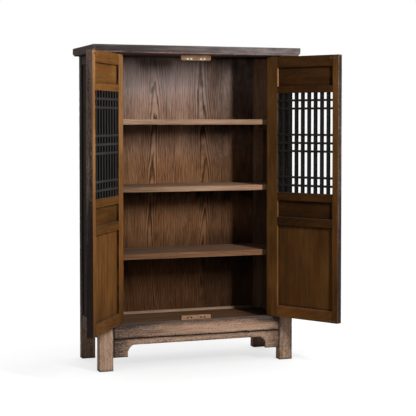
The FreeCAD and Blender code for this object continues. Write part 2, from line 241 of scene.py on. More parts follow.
def lathe(profile, centre, axis, segments=28):
    """A turned part: profile holds (distance along the axis, radius) pairs from one pole to the other."""
    points = []
    rows = []
    first, second = [other for other in (X, Y, Z) if other != axis]
    sign = -1 if axis == Y else 1
    for height, radius in profile:
        row = []
        for turn in range(segments if radius > 0 else 1):
            angle = sign * 2 * math.pi * turn / segments
            point = [height] * 3
            point[first] = radius * math.cos(angle)
            point[second] = radius * math.sin(angle)
            row.append(len(points))
            points.append(point)
        rows.append(row)
    quads = []
    for lower, upper in zip(rows, rows[1:]):
        for turn in range(segments):
            following = (turn + 1) % segments
            face = [lower[turn % len(lower)], lower[following % len(lower)],
                    upper[following % len(upper)], upper[turn % len(upper)]]
            face = [value for place, value in enumerate(face) if value not in face[:place]]
            if len(face) > 2:
                quads.append(face)
    points = np.array(points) + np.array(centre)
    edge = np.full(len(points), TURNED_EDGE)
    return dict(points=points, quads=quads, low=points.min(0), high=points.max(0), along=axis, edge=edge)


def raw_mesh(name, points, quads):
    mesh = bpy.data.meshes.new(name)
    mesh.from_pydata([tuple(point) for point in points], [], quads)
    mesh.update()
    return mesh


def place_object(name, data):
    made = bpy.data.objects.new(name, data)
    bpy.context.scene.collection.objects.link(made)
    return made


def carve(part, cutters):
    """Takes cutters, closed parts, out of a part, and gives the part that is left."""
    body = place_object("carved", raw_mesh("carved", part["points"], part["quads"]))
    tools = [place_object("cutter", raw_mesh("cutter", tool["points"], tool["quads"])) for tool in cutters]
    for tool in tools:
        step = body.modifiers.new("cut", "BOOLEAN")
        step.operation = "DIFFERENCE"
        step.solver = "EXACT"
        step.object = tool
    graph = bpy.context.evaluated_depsgraph_get()
    result = body.evaluated_get(graph).to_mesh()
    points = np.array([vertex.co for vertex in result.vertices])
    quads = [list(face.vertices) for face in result.polygons]
    body.evaluated_get(graph).to_mesh_clear()
    for item in tools + [body]:
        mesh = item.data
        bpy.data.objects.remove(item)
        bpy.data.meshes.remove(mesh)
    edge = edge_distance(points, part["low"], part["high"])
    return dict(part, points=points, quads=quads, edge=edge)


def loose_solids(node):
    """The points of each separate solid in a CAD node."""
    mesh = frame["nodes"][node].data
    places = np.array([vertex.co for vertex in mesh.vertices])
    keys = {}
    merged = []
    for row in np.round(places / (0.01 * MM)).astype(int):
        merged.append(keys.setdefault(tuple(row), len(keys)))
    parent = list(range(len(keys)))

    def root(item):
        while parent[item] != item:
            parent[item] = parent[parent[item]]
            item = parent[item]
        return item

    for face in mesh.polygons:
        ring = [merged[vertex] for vertex in face.vertices]
        for other in ring[1:]:
            parent[root(other)] = root(ring[0])
    groups = {}
    for place, item in zip(places, merged):
        groups.setdefault(root(item), []).append(place)
    return [np.array(group) for group in groups.values()]


# Pieces: meshes with their grain, their distance from an edge and their amounts written at every point

# The log's heart, as its distance from the middle of a board: beside it and below it
HEART_SPREAD = 30 * MM
HEART_DEPTH = 100 * MM
HEART_SWAY = 14 * MM
HEART_SWAY_RATE = 5.3
GRAIN_STEP = 3.1
PART_STEP = 0.61
DEFAULT_AMOUNTS = dict(coat=1.0, wear=0.3, tone=0.0, dust=0.0, grime=0.0)


def heart_of(number, step):
    """A place for the heart that differs from piece to piece."""
    aside = HEART_SPREAD * math.sin(number * 2.4 + step)
    return aside, HEART_DEPTH * (1.0 + 0.5 * math.sin(number * 1.7))


def grain_of(part, number, heart):
    """Wood coordinates: along the grain, across it, and through the board, off the log's heart."""
    along = part["along"]
    sizes = part["high"] - part["low"]
    across, through = sorted((a for a in (X, Y, Z) if a != along), key=lambda a: -sizes[a])
    place = part["points"] - (part["low"] + part["high"]) / 2
    aside, depth = heart
    if callable(depth):
        height = part["points"][:, along]
        aside = aside + HEART_SWAY * np.sin(height * HEART_SWAY_RATE + 2.1 * number)
        depth = depth(height)
    return np.stack([
        place[:, along] + GRAIN_STEP * number,
        place[:, across] + aside,
        place[:, through] + depth,
    ], axis=1)


def write_layer(mesh, name, kind, values):
    layer = mesh.attributes.new(name, kind, "POINT")
    key = "vector" if kind == "FLOAT_VECTOR" else "value"
    layer.data.foreach_set(key, np.asarray(values, np.float32).ravel())


def piece(node, parts, body="carcass", turn=None, heart=None, material=None, **amounts):
    """Joins parts into the piece for a CAD node. Each amount is a number or a function of the points."""
    number = len(pieces_made) + 1
    points = np.concatenate([part["points"] for part in parts])
    quads = []
    grains = []
    start = 0
    for step, part in enumerate(parts):
        quads += [[index + start for index in face] for face in part["quads"]]
        start += len(part["points"])
        grains.append(grain_of(part, number + PART_STEP * step, heart or heart_of(number, step)))
    mesh = raw_mesh("worn_" + node, points if turn is None else turn(points), quads)
    write_layer(mesh, "grain", "FLOAT_VECTOR", np.concatenate(grains))
    write_layer(mesh, "edge", "FLOAT", np.concatenate([part["edge"] for part in parts]))
    for name, value in {**DEFAULT_AMOUNTS, **amounts}.items():
        amount = value(points) if callable(value) else value
        write_layer(mesh, name, "FLOAT", np.broadcast_to(amount, (len(points),)))
    mesh.polygons.foreach_set("use_smooth", [True] * len(mesh.polygons))
    mesh.set_sharp_from_angle(angle=SHARP_ANGLE)
    obj = place_object("worn_" + node, mesh)
    slot = frame["nodes"][node].data.materials[0].name.split(".")[0]
    mesh.materials.append(MATERIALS[material or slot])
    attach(obj, body)
    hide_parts(node)
    pieces_made.append(obj)


# Shader graphs


def linear(colour):
    """Display colour from 0 to 255 as the linear colour that shaders take."""
    channels = [value / 255 for value in colour]
    return tuple(c / 12.92 if c <= 0.04045 else ((c + 0.055) / 1.055) ** 2.4 for c in channels) + (1.0,)


class Number:
    """A number in a shader graph, for sums written with plus, minus, times and over."""

    def __init__(self, graph, socket):
        self.graph = graph
        self.socket = socket

    def __add__(self, other):
        return self.graph.math("ADD", self, other)

    def __sub__(self, other):
        return self.graph.math("SUBTRACT", self, other)

    def __rsub__(self, other):
        return self.graph.math("SUBTRACT", other, self)

    def __mul__(self, other):
        return self.graph.math("MULTIPLY", self, other)

    def __truediv__(self, other):
        return self.graph.math("DIVIDE", self, other)


class Graph:
    def __init__(self, owner):
        owner.use_nodes = True
        self.tree = owner.node_tree
        self.tree.nodes.clear()

    def add(self, kind, settings=None, **inputs):
        """Adds a node. An input is named in words joined by _, or by its number after n."""
        made = self.tree.nodes.new(kind)
        for key, value in (settings or {}).items():
            setattr(made, key, value)
        for key, value in inputs.items():
            numbered = key[0] == "n" and key[1:].isdigit()
            self.feed(made.inputs[int(key[1:]) if numbered else key.replace("_", " ")], value)
        return made

    def feed(self, socket, value):
        value = value.socket if isinstance(value, Number) else value
        if isinstance(value, bpy.types.NodeSocket):
            self.tree.links.new(value, socket)
        else:
            socket.default_value = value

    def math(self, operation, first, second=0.0):
        made = self.add("ShaderNodeMath", {"operation": operation}, n0=first, n1=second)
        return Number(self, made.outputs[0])

    def step(self, low, high, value, kind="SMOOTHSTEP"):
        made = self.add("ShaderNodeMapRange", {"interpolation_type": kind, "clamp": True},
                        Value=value, From_Min=low, From_Max=high)
        return Number(self, made.outputs[0])

    def layer(self, name):
        return Number(self, self.add("ShaderNodeAttribute", {"attribute_name": name}).outputs["Fac"])

    def noise(self, vector, scale, detail, roughness):
        """Noise with its own scale along each axis of vector."""
        scaled = self.add("ShaderNodeVectorMath", {"operation": "MULTIPLY"}, n0=vector, n1=scale).outputs[0]
        made = self.add("ShaderNodeTexNoise", Vector=scaled, Scale=1.0, Detail=detail, Roughness=roughness)
        return Number(self, made.outputs["Fac"])

    def ramp(self, value, colours):
        """Colours spread evenly from 0 to 1."""
        made = self.add("ShaderNodeValToRGB", Fac=value)
        elements = made.color_ramp.elements
        while len(elements) < len(colours):
            elements.new(0.5)
        for place, colour in enumerate(colours):
            elements[place].position = place / (len(colours) - 1)
            elements[place].color = linear(colour)
        return made.outputs["Color"]

    def mix(self, share, first, second, blend="MIX"):
        made = self.add("ShaderNodeMix", {"data_type": "RGBA", "blend_type": blend, "clamp_factor": True},
                        n0=share, n6=first, n7=second)
        return made.outputs[2]

    def surface(self, colour, roughness, height, bump_share, bump_depth, **constants):
        """Ends a material with a bumped surface."""
        bump = self.add("ShaderNodeBump", Strength=bump_share, Distance=bump_depth, Height=height)
        shader = self.add("ShaderNodeBsdfPrincipled", Base_Color=colour, Roughness=roughness,
                          Normal=bump.outputs[0], **constants)
        self.add("ShaderNodeOutputMaterial", Surface=shader.outputs[0])


def swing(value, share):
    """Noise from 0 to 1 as a swing of plus or minus share."""
    return (value - 0.5) * (2 * share)


# Old wood

# Noise in the wood: cycles per metre along, across and through the grain, then detail and roughness
WOOD_NOISE = {
    "warp": ((2.3, 8.0, 8.0), 2.0, 0.5),
    "drift": ((1.1, 0.8, 0.0), 2.0, 0.5),
    "wobble": ((5.0, 55.0, 55.0), 2.0, 0.5),
    "fibre": ((9.0, 420.0, 420.0), 3.0, 0.6),
    "blotch": ((3.2, 7.0, 7.0), 3.0, 0.55),
    "pore": ((55.0, 900.0, 900.0), 1.0, 0.5),
    "flush": ((1.3, 24.0, 24.0), 2.0, 0.5),
    "patch": ((7.0, 46.0, 46.0), 4.0, 0.65),
    "speckle": ((120.0, 170.0, 170.0), 3.0, 0.7),
    "fleck": ((16.0, 150.0, 150.0), 3.0, 0.6),
    "lump": ((14.0, 26.0, 26.0), 4.0, 0.65),
}
# Each ring darkens over the first share of its width and ends over the second
LATE_WOOD_SHARES = (0.25, 0.85)
RING_END_SHARES = (0.9, 1.0)
RING_WOBBLE_SHARE = 0.55
HEART_WIDTHS = (12 * MM, 36 * MM)
HEART_LIGHTENING = 0.3
PORE_EDGE = (0.62, 0.72)
PORE_DARKENING = 0.14
FLUSH_EDGE = (0.42, 0.62)
FLUSH_TINT = (255, 226, 206)
STREAK_DETAIL = (4.0, 0.6)
FILM_DETAIL = (4.0, 0.65)
FILM_SHARE = 0.95
FILM_FIBRE_SHARE = 0.45
RUBBED_FIBRE_SHARE = 0.25
RIM_WIDTH = 9 * MM
FACING_UP = (0.5, 0.95)
LUMP_EDGE = (0.25, 0.75)
DUST_LUMP_SHARE = 0.75
LEAST_DUST_SHARE = 0.45
GRIME_AND_SHADE_LUMP_SHARE = 0.4
LEAST_GRIME_AND_SHADE_SHARE = 0.8
SOOT_AND_SHADE = (20, 15, 12)
ROUGHEST = 0.85
STREAK_ROUGHENING = 0.10
FILM_POLISH = 0.2
DUST_ROUGHENING = 0.2
SHINE = 0.06
FIBRE_HEIGHT = 0.5
RING_HEIGHT = 0.25
PORE_DEPTH = 0.4
PATCH_HEIGHT = 0.6
RUBBED_DEPTH = 0.5
WOOD_BUMP_SHARE = 0.5
WOOD_BUMP_DEPTH = 0.5 * MM


def wood(g, ages, stain=None, worn=None, ring_pitch=6 * MM, ring_share=0.30, fibre_share=0.48,
         streak_share=0.50, streak_scale=(2.2, 48.0, 48.0), blotch_share=0.4, heart_share=0.0,
         heart_drift=90 * MM, warp=16 * MM, tint_share=0.5, dust_colour=(128, 118, 112), dust_share=0.3,
         film_scale=(3.0, 42.0, 42.0), patch_share=0.48, speckle_share=0.60, fleck_share=0.28,
         rim_share=0.3, bare_range=(0.28, 0.74)):
    """Old solid wood. ages holds its bare colours, light to dark, at tones 0, 0.5 and 1. On stained wood,
    stain goes from dark to light, and worn, its colours where the stain is rubbed off, from light to dark."""
    grain = g.add("ShaderNodeAttribute", {"attribute_name": "grain"}).outputs["Vector"]
    n = SimpleNamespace(**{name: g.noise(grain, *settings) for name, settings in WOOD_NOISE.items()})
    streak = g.noise(grain, streak_scale, *STREAK_DETAIL)
    split = g.add("ShaderNodeSeparateXYZ", Vector=grain).outputs
    across = Number(g, split[Y]) + swing(n.warp, warp)
    depth = Number(g, split[Z]) + swing(n.drift, heart_drift)
    radius = g.math("SQRT", across * across + depth * depth)
    ring = g.math("FRACT", radius / ring_pitch + swing(n.wobble, RING_WOBBLE_SHARE))
    band = g.step(*LATE_WOOD_SHARES, ring) * (1.0 - g.step(*RING_END_SHARES, ring))
    near_heart = 1.0 - g.step(*HEART_WIDTHS, g.math("ABSOLUTE", across))
    pores = g.step(*PORE_EDGE, n.pore)
    dark = swing(band, ring_share) + swing(n.fibre, fibre_share)
    dark = dark + near_heart * swing(band, heart_share) - near_heart * (heart_share * HEART_LIGHTENING)
    dark = dark + swing(streak, streak_share) + swing(n.blotch, blotch_share)
    dark = dark + pores * PORE_DARKENING + 0.5

    tone = g.layer("tone")
    colour = g.mix(g.step(0.0, 0.5, tone, "LINEAR"), g.ramp(dark, ages[0]), g.ramp(dark, ages[1]))
    colour = g.mix(g.step(0.5, 1.0, tone, "LINEAR"), colour, g.ramp(dark, ages[2]))
    tinted = g.mix(1.0, colour, linear(FLUSH_TINT), "MULTIPLY")
    colour = g.mix(g.step(*FLUSH_EDGE, n.flush) * tint_share, colour, tinted)
    roughness = swing(streak, STREAK_ROUGHENING) + ROUGHEST
    height = n.fibre * FIBRE_HEIGHT + band * RING_HEIGHT - pores * PORE_DEPTH + n.patch * PATCH_HEIGHT

    if stain:
        coat = g.layer("coat")
        film = swing(g.noise(grain, film_scale, *FILM_DETAIL), FILM_SHARE)
        film = film + swing(n.fibre, FILM_FIBRE_SHARE) + 0.5
        rim = 1.0 - g.step(0.0, RIM_WIDTH, g.layer("edge"))
        bare = g.layer("wear") + swing(n.patch, patch_share) + swing(n.speckle, speckle_share)
        bare = bare + swing(n.fleck, fleck_share) + swing(n.fibre, RUBBED_FIBRE_SHARE) + rim * rim_share
        bare = g.step(*bare_range, bare)
        colour = g.mix(coat, colour, g.mix(bare, g.ramp(film, stain), g.ramp(dark, worn)))
        roughness = roughness - coat * (1.0 - bare) * FILM_POLISH
        height = height - coat * bare * RUBBED_DEPTH

    normal = g.add("ShaderNodeNewGeometry").outputs["Normal"]
    upward = g.add("ShaderNodeSeparateXYZ", Vector=normal).outputs[Z]
    lumps = g.step(*LUMP_EDGE, n.lump)
    settled = g.step(*FACING_UP, upward) * dust_share + g.layer("dust")
    settled = settled * (lumps * DUST_LUMP_SHARE + LEAST_DUST_SHARE)
    colour = g.mix(settled, colour, linear(dust_colour))
    # The grime layer holds dirt and also painted shade; both darken the wood toward the soot colour
    dirt_and_shade = g.layer("grime") * (lumps * GRIME_AND_SHADE_LUMP_SHARE + LEAST_GRIME_AND_SHADE_SHARE)
    colour = g.mix(dirt_and_shade, colour, linear(SOOT_AND_SHADE))
    g.surface(colour, roughness + settled * DUST_ROUGHENING, height, WOOD_BUMP_SHARE, WOOD_BUMP_DEPTH,
              Specular_IOR_Level=SHINE)


# Colours from light to dark, in display values from 0 to 255
SMOKED = [
    [(92, 72, 56), (72, 54, 42), (50, 37, 29)],
    [(120, 94, 74), (96, 74, 58), (68, 52, 41)],
]
UNFINISHED = [
    [(138, 108, 82), (112, 84, 62), (78, 57, 42)],
    [(186, 154, 126), (152, 124, 101), (108, 84, 67)],
]
FIXED_HEART_DRIFT = 12 * MM
WOODS = {
    "stained_wood": dict(
        ages=SMOKED + [[(204, 168, 138), (172, 139, 112), (132, 104, 84)]],
        stain=[(42, 34, 31), (68, 56, 51), (98, 84, 76)],
        worn=[(204, 169, 144), (172, 139, 116), (130, 103, 86)],
        ring_share=0.05, fibre_share=0.64, streak_share=0.68, patch_share=0.32, speckle_share=0.63,
        # A rim_share below 0 keeps the stain on the edges: dark edge lines, partly stain and partly painted
        # shade on their rounding
        fleck_share=0.294, rim_share=-0.22, bare_range=(0.14, 0.88),
    ),
    "crown_wood": dict(
        ages=SMOKED + [[(150, 118, 92), (122, 94, 73), (88, 67, 52)]],
        stain=[(28, 24, 24), (54, 48, 47), (104, 95, 93)],
        worn=[(160, 124, 112), (130, 100, 92), (92, 74, 70)],
        speckle_share=0.45, fleck_share=0.21, rim_share=0.12, film_scale=(4.0, 90.0, 90.0),
        dust_colour=(150, 138, 134),
    ),
    "plain_wood": dict(
        ages=[[(92, 68, 48), (72, 50, 34), (48, 33, 22)]] + UNFINISHED,
        ring_share=0.10, fibre_share=0.672, dust_share=0.15, heart_drift=FIXED_HEART_DRIFT,
    ),
    "bottom_wood": dict(
        ages=[[(96, 66, 44), (74, 49, 31), (48, 31, 19)]] + UNFINISHED,
        ring_share=0.10, fibre_share=0.672, dust_share=0.0, tint_share=0.2, heart_drift=FIXED_HEART_DRIFT,
    ),
    "back_wood": dict(
        ages=[
            [(82, 53, 29), (62, 38, 19), (40, 23, 11)],
            [(156, 115, 82), (119, 84, 57), (75, 49, 32)],
            [(180, 156, 144), (146, 123, 112), (94, 77, 69)],
        ],
        ring_pitch=7.8 * MM, ring_share=0.24, heart_share=0.36, fibre_share=0.8, streak_share=0.52,
        streak_scale=(2.2, 170.0, 170.0), blotch_share=0.6, warp=11 * MM, heart_drift=FIXED_HEART_DRIFT,
        tint_share=0.35, dust_share=0.0, dust_colour=(140, 130, 132),
    ),
    "door_wood": dict(
        ages=[
            [(70, 44, 18), (52, 32, 12), (34, 20, 7)],
            [(136, 94, 48), (110, 74, 36), (80, 51, 24)],
            [(176, 130, 86), (150, 108, 68), (118, 80, 46)],
        ],
        stain=[(34, 27, 25), (52, 42, 39), (78, 67, 62)],
        worn=[(130, 108, 94), (104, 86, 76), (74, 58, 50)],
        ring_share=0.07, fibre_share=0.416, streak_share=0.48, blotch_share=0.8,
    ),
    "dark_lattice_wood": dict(
        ages=[
            [(20, 18, 18), (13, 12, 12), (8, 7, 7)],
            [(40, 38, 38), (28, 27, 27), (17, 16, 16)],
            [(72, 71, 70), (56, 55, 54), (38, 37, 37)],
        ],
        ring_share=0.05, fibre_share=0.16, streak_share=0.24, dust_colour=(84, 82, 81),
    ),
    "pale_wood": dict(
        ages=[
            [(150, 121, 97), (128, 101, 79), (98, 75, 57)],
            [(168, 137, 110), (144, 115, 90), (112, 87, 66)],
            [(190, 156, 126), (164, 132, 104), (130, 102, 78)],
        ],
        ring_share=0.15, dust_share=0.1,
    ),
}

# Plated steel
MOTTLE_NOISE = ((400.0, 400.0, 400.0), 3.0, 0.6)
SCRATCH_NOISE = ((900.0, 120.0, 2500.0), 2.0, 0.6)
MOTTLE_SHARE = 0.7
MOTTLE_ROUGHENING = 0.2
METAL_BUMP_SHARE = 0.3
METAL_BUMP_DEPTH = 0.2 * MM
METALS = {
    "magnet": dict(light=(178, 173, 165), dark=(104, 100, 94), roughness=0.5),
    # A darker copy of the magnet steel: painted shade on the bottom magnets
    "dull_magnet": dict(light=(70, 62, 56), dark=(38, 33, 30), roughness=0.6),
    "screw_steel": dict(light=(112, 100, 90), dark=(52, 45, 40), roughness=0.5),
}


def metal(g, light, dark, roughness):
    """Plated steel, slightly mottled and scratched."""
    place = g.add("ShaderNodeTexCoord").outputs["Object"]
    mottle = g.noise(place, *MOTTLE_NOISE)
    scratch = g.noise(place, *SCRATCH_NOISE)
    colour = g.ramp(mottle * MOTTLE_SHARE + scratch * (1.0 - MOTTLE_SHARE), [dark, light])
    roughness = swing(mottle, MOTTLE_ROUGHENING) + roughness
    g.surface(colour, roughness, scratch, METAL_BUMP_SHARE, METAL_BUMP_DEPTH, Metallic=1.0)


MATERIALS = {}
for make, finishes in ((wood, WOODS), (metal, METALS)):
    for name, finish in finishes.items():
        MATERIALS[name] = bpy.data.materials.new(name)
        make(Graph(MATERIALS[name]), **finish)

# Legs

DOOR_THICKNESS = 33 * MM
legs = {f"{side}_{end}_leg": span(f"{side}_{end}_leg") for end in ("front", "rear") for side in SIDES}
crown_low, crown_high = span("top_board")
inner_left = legs["left_front_leg"][1][X]
inner_right = legs["right_front_leg"][0][X]
front_plane, front_leg_back = (corner[Y] for corner in legs["left_front_leg"])
rear_leg_front = legs["left_rear_leg"][0][Y]
back_front, back_rear = (corner[Y] for corner in span("back_board_1"))
side_panel_inner = span("right_side_panel")[0][X]
doors_back = front_plane + DOOR_THICKNESS

# Fades, as an axis, the place where each starts and the place where it is full
FEET = (Z, 9 * MM, 2 * MM)
LOW_ON_FRONT_LEGS = (Z, 0.42, 0.16)
LOW_ON_REAR_LEGS = (Z, 0.34, 0.10)
DARKER_HEIGHT = (Z, 0.15, 0.55)
UPPER_COMPARTMENTS = (Z, 0.85, 0.92)
TOP_COMPARTMENT = (Z, 1.18, 1.26)
TOWARD_RIGHT_LEG = (X, 0.0, 0.3)
ABOVE_FLOOR = (Z, 222 * MM, 228 * MM)
BEHIND_DOORS = beside(Y, doors_back, 0, 6)
BEFORE_BACK = beside(Y, back_front, 6, 0)
LEG_INNER_FACE = beside(OUT, inner_right, 3, 1.5)
REAR_LEG_FRONT_FACE = beside(Y, rear_leg_front, 3, 1.5)
WITHIN_SIDE_PANELS = beside(OUT, side_panel_inner, 4, 0)

# The inner faces of the legs and side panels are palest in the top compartment, as painted light
inner_leg_painted_light = layered(0.42, (0.20, UPPER_COMPARTMENTS), (0.20, TOP_COMPARTMENT))
inner_panel_painted_light = layered(0.40, (0.60, TOP_COMPARTMENT))
# Bare wood near the floor, dark stain higher up
front_leg_wear = layered(0.16, (0.56, LOW_ON_FRONT_LEGS), (-0.12, LOW_ON_FRONT_LEGS, TOWARD_RIGHT_LEG))
rear_leg_wear = layered(0.08, (0.48, LOW_ON_REAR_LEGS))
# Stain all round, but not where a leg faces the inside of the cabinet
front_leg_coat = layered(1.0, (-1.0, LEG_INNER_FACE, ABOVE_FLOOR, BEHIND_DOORS, BEFORE_BACK))
rear_leg_front_coat = layered(1.0, (-1.0, REAR_LEG_FRONT_FACE, WITHIN_SIDE_PANELS, ABOVE_FLOOR))
# Dirt round the feet, and a darker upper part on the rear legs
foot_grime = layered(0.0, (0.6, FEET))
upper_darkening = layered(0.0, (0.63, DARKER_HEIGHT))


def rear_leg_coat(points):
    return np.minimum(front_leg_coat(points), rear_leg_front_coat(points))


def rear_leg_grime(points):
    return highest(foot_grime, upper_darkening)(points) * rear_leg_coat(points)


LEG_AMOUNTS = {
    "front": dict(wear=front_leg_wear, grime=foot_grime, coat=front_leg_coat),
    "rear": dict(wear=rear_leg_wear, grime=rear_leg_grime, coat=rear_leg_coat),
}
for node, (low, high) in legs.items():
    leg = plank(low, [*high[:Z], crown_low[Z]], Z, "leg", joined=(False, True), stands=True)
    piece(node, [leg], tone=inner_leg_painted_light, **LEG_AMOUNTS[node.split("_")[1]])

# Crown board: its upright faces end at a waist, and below it the front and ends slope inward

WAIST_HEIGHT = 13 * MM
WAIST_INSET = 9 * MM
PIN_SOCKET_RADIUS = 9.3 * MM
SOCKET_DEPTH_BEYOND_PIN = MM
CUT_BEYOND = 5 * MM
waist = crown_low[Z] + WAIST_HEIGHT
pivots = {joint["child"]: joint for joint in frame["joints"]}
pin_bottom, pin_top = (corner[Z] for corner in span("left_door_hinge_stile"))


def crown_shape(points):
    inset = WAIST_INSET * np.clip((waist - points[:, Z]) / WAIST_HEIGHT, 0.0, 1.0)
    middle = (crown_low[X] + crown_high[X]) / 2
    half = (crown_high[X] - crown_low[X]) / 2
    depth = crown_high[Y] - crown_low[Y]
    shaped = points.copy()
    shaped[:, X] = middle + (points[:, X] - middle) * (half - inset) / half
    shaped[:, Y] = crown_high[Y] - (crown_high[Y] - points[:, Y]) * (depth - inset) / depth
    return shaped


def cylinder(start, end, radius):
    return [(start, 0), (start, radius), (end, radius), (end, 0)]


def pin_sockets(low, high):
    """Cutters for the two sockets that the doors' pivots turn in."""
    profile = cylinder(low, high, PIN_SOCKET_RADIUS)
    return [lathe(profile, (*joint["pos_m"][:Z], 0), Z) for joint in pivots.values()]


WAIST_BAND = beside(Z, waist, 2, -6)
LEFT_END = beside(X, crown_low[X], 9, 2)
TOWARD_RIGHT_END = (X, -0.45, 0.5)
UNDERSIDE = beside(Z, crown_low[Z], 3, 1)
UNDERSIDE_BACK = (Y, 0.04, 0.15)
UNDERSIDE_RIGHT = (X, 0.05, 0.30)
# Worn along the waist and on the left end
crown_wear = layered(0.10, (0.42, WAIST_BAND), (0.3, LEFT_END))
# More dust and fading toward the right, and some on the left end
crown_dust = layered(0.05, (0.38, TOWARD_RIGHT_END), (0.25, LEFT_END))
# Painted shade under the board, deepest at the back and on the right
crown_underside_shade = layered(0.0, (0.15, UNDERSIDE), (0.60, UNDERSIDE, UNDERSIDE_BACK),
                      (0.2, UNDERSIDE, UNDERSIDE_RIGHT))

crown = plank(crown_low, crown_high, X, "crown", FREE_ENDS, shape=crown_shape, extra={Z: (waist,)})
crown = carve(crown, pin_sockets(crown_low[Z] - CUT_BEYOND, pin_top + SOCKET_DEPTH_BEYOND_PIN))
piece("top_board", [crown], wear=crown_wear, dust=crown_dust, grime=crown_underside_shade, material="crown_wood")

# Front rail: rubbed bare, with stain left along both edges and near the legs

rail_low, rail_high = span("front_rail")
rail_low[X], rail_high[X] = inner_left, inner_right
RAIL_TOP_EDGE = beside(Z, rail_high[Z], -30, -4)
RAIL_TOP_EDGE_AT_RIGHT = beside(Z, rail_high[Z], -42, -16)
RAIL_BOTTOM_EDGE = beside(Z, rail_low[Z], 6, 0)
RAIL_RIGHT_END = (X, 0.26, 0.40)
RAIL_LEFT_END = (X, -0.08, -0.42)
rail_wear = layered(0.74, (-0.30, RAIL_TOP_EDGE), (-0.16, RAIL_BOTTOM_EDGE), (-0.40, RAIL_LEFT_END),
                    (-0.50, RAIL_RIGHT_END, RAIL_TOP_EDGE_AT_RIGHT))
JOINT_LINE = (9 * MM, 2.5 * MM)
RIGHT_JOINT = (90 * MM, 10 * MM)
RIGHT_JOINT_RAGGED = 70 * MM
RIGHT_JOINT_NOISE = (34.0, 2.7)


def beside_legs(points):
    """Dirt in the joint lines between the front legs and the rail or the apron, wider at the right end."""
    inset = inner_right - np.abs(points[:, X])
    ragged = inset + RIGHT_JOINT_RAGGED * (field(points, *RIGHT_JOINT_NOISE) - 0.5)
    right_end = 0.50 * smooth(*RIGHT_JOINT, ragged) * (points[:, X] > 0)
    return np.maximum(right_end, 0.85 * smooth(*JOINT_LINE, inset))


rail = plank(rail_low, rail_high, X, "rail")
rail = carve(rail, pin_sockets(pin_bottom - SOCKET_DEPTH_BEYOND_PIN, rail_high[Z] + CUT_BEYOND))
piece("front_rail", [rail], wear=rail_wear, grime=beside_legs)

# Front apron with a bracket at each end and a tongue up into the rail

SHADOW_GAP = 4 * MM
APRON_LOWER_EDGE = 124 * MM
BRACKET_SIDE = 366 * MM
BRACKET_SIDE_TOP = 90 * MM
BRACKET_SIDE_SLOPE = 0.2 * MM
BRACKET_CURVE_END = 339 * MM
BRACKET_BULGE = 4.5 * MM
BRACKET_STEPS = 14
TONGUE_INSET = 5 * MM
TONGUE_OVERLAP = MM
APRON_EDGE_NOISE = (38.0, 4.4)
APRON_CHIP_NOISE = (60.0, 4.4)
APRON_SAG_NOISE = (9.0, 4.4)
APRON_LEAST_ROUND_SHARE = 0.5
apron_low, apron_high = span("front_apron")
apron_top = rail_low[Z] - SHADOW_GAP
apron_low[X] = inner_left
apron_high[[X, Z]] = inner_right, apron_top


def bracket_outline():
    """The apron's lower outline toward a leg, as (x, z) pairs: a hollow curve, then the bracket's side."""
    run = BRACKET_CURVE_END - BRACKET_SIDE
    rise = APRON_LOWER_EDGE - BRACKET_SIDE_TOP
    length = math.hypot(run, rise)
    pairs = []
    for share in np.linspace(1.0, 0.0, BRACKET_STEPS + 1):
        bow = 4 * BRACKET_BULGE * share * (1 - share)
        pairs.append((BRACKET_SIDE + run * share + bow * rise / length,
                      BRACKET_SIDE_TOP + rise * share - bow * run / length))
    return pairs + [(BRACKET_SIDE + BRACKET_SIDE_SLOPE, apron_low[Z])]


def apron_bottom(x):
    """Height of the apron's lower outline at each x."""
    xs, heights = zip(*bracket_outline())
    return np.interp(np.abs(x), xs, heights)


def apron():
    """The apron as a grid whose rows follow its lower outline."""
    kind = LOOKS["rail"]
    bends = [way * x for x, _ in bracket_outline() for way in SIDES.values()]
    height = apron_top - apron_low[Z]
    points, quads = shell(stops(inner_left, inner_right, kind, bends),
                          stops(apron_low[Y], apron_high[Y], kind), stops(0.0, height, kind))
    tallness = apron_top - apron_bottom(points[:, X])
    rim = kind.rim * RIM_SHARES[-1]
    squeeze = (tallness - 2 * rim) / (height - 2 * rim)
    level = points[:, Z]
    upper = np.where(level >= height - rim, tallness - (height - level), rim + (level - rim) * squeeze)
    grid = np.column_stack([points[:, :Z], np.where(level <= rim, level, upper)])
    low = np.array([inner_left, apron_low[Y], 0.0])
    high = np.column_stack([np.tile(apron_high[:Z], (len(grid), 1)), tallness])
    radius = kind.radius * (APRON_LEAST_ROUND_SHARE + field(grid, *APRON_EDGE_NOISE))
    radius = radius + kind.chip * smooth(*CHIPPED, field(grid, *APRON_CHIP_NOISE))
    ends = smooth(JOINT_REACH, 0.0, inner_right - np.abs(grid[:, X]))
    radius = radius * (1.0 - ends) + JOINT_RADIUS * ends
    soft = soften(grid, low, high, radius, kind.sag * field(grid, *APRON_SAG_NOISE))
    soft[:, Z] += apron_bottom(grid[:, X])
    edge = edge_distance(grid, low, high)
    return dict(points=soft, quads=quads, low=apron_low, high=apron_high, along=X, edge=edge)


LEFT_BRACKET = (X, -0.33, -0.43)
RIGHT_BRACKET = (X, 0.33, 0.43)
APRON_TOP_EDGE = beside(Z, apron_top, -6, -2)
TONGUE = beside(Z, apron_top, -1, 0)
# Rubbed bare, with stain left under the rail and on the brackets
rubbed_apron = layered(0.64, (-0.36, LEFT_BRACKET), (-0.072, RIGHT_BRACKET), (-0.16, APRON_TOP_EDGE))
# Painted shade on the tongue in the gap under the rail, and dirt in the joint lines beside the legs
apron_dirt_and_shade = highest(layered(0.0, (0.75, TONGUE)), beside_legs)


def apron_wear(points):
    """The tongue keeps all its stain, as painted shade in the gap under the rail."""
    return rubbed_apron(points) * (1.0 - overlap(points, TONGUE))


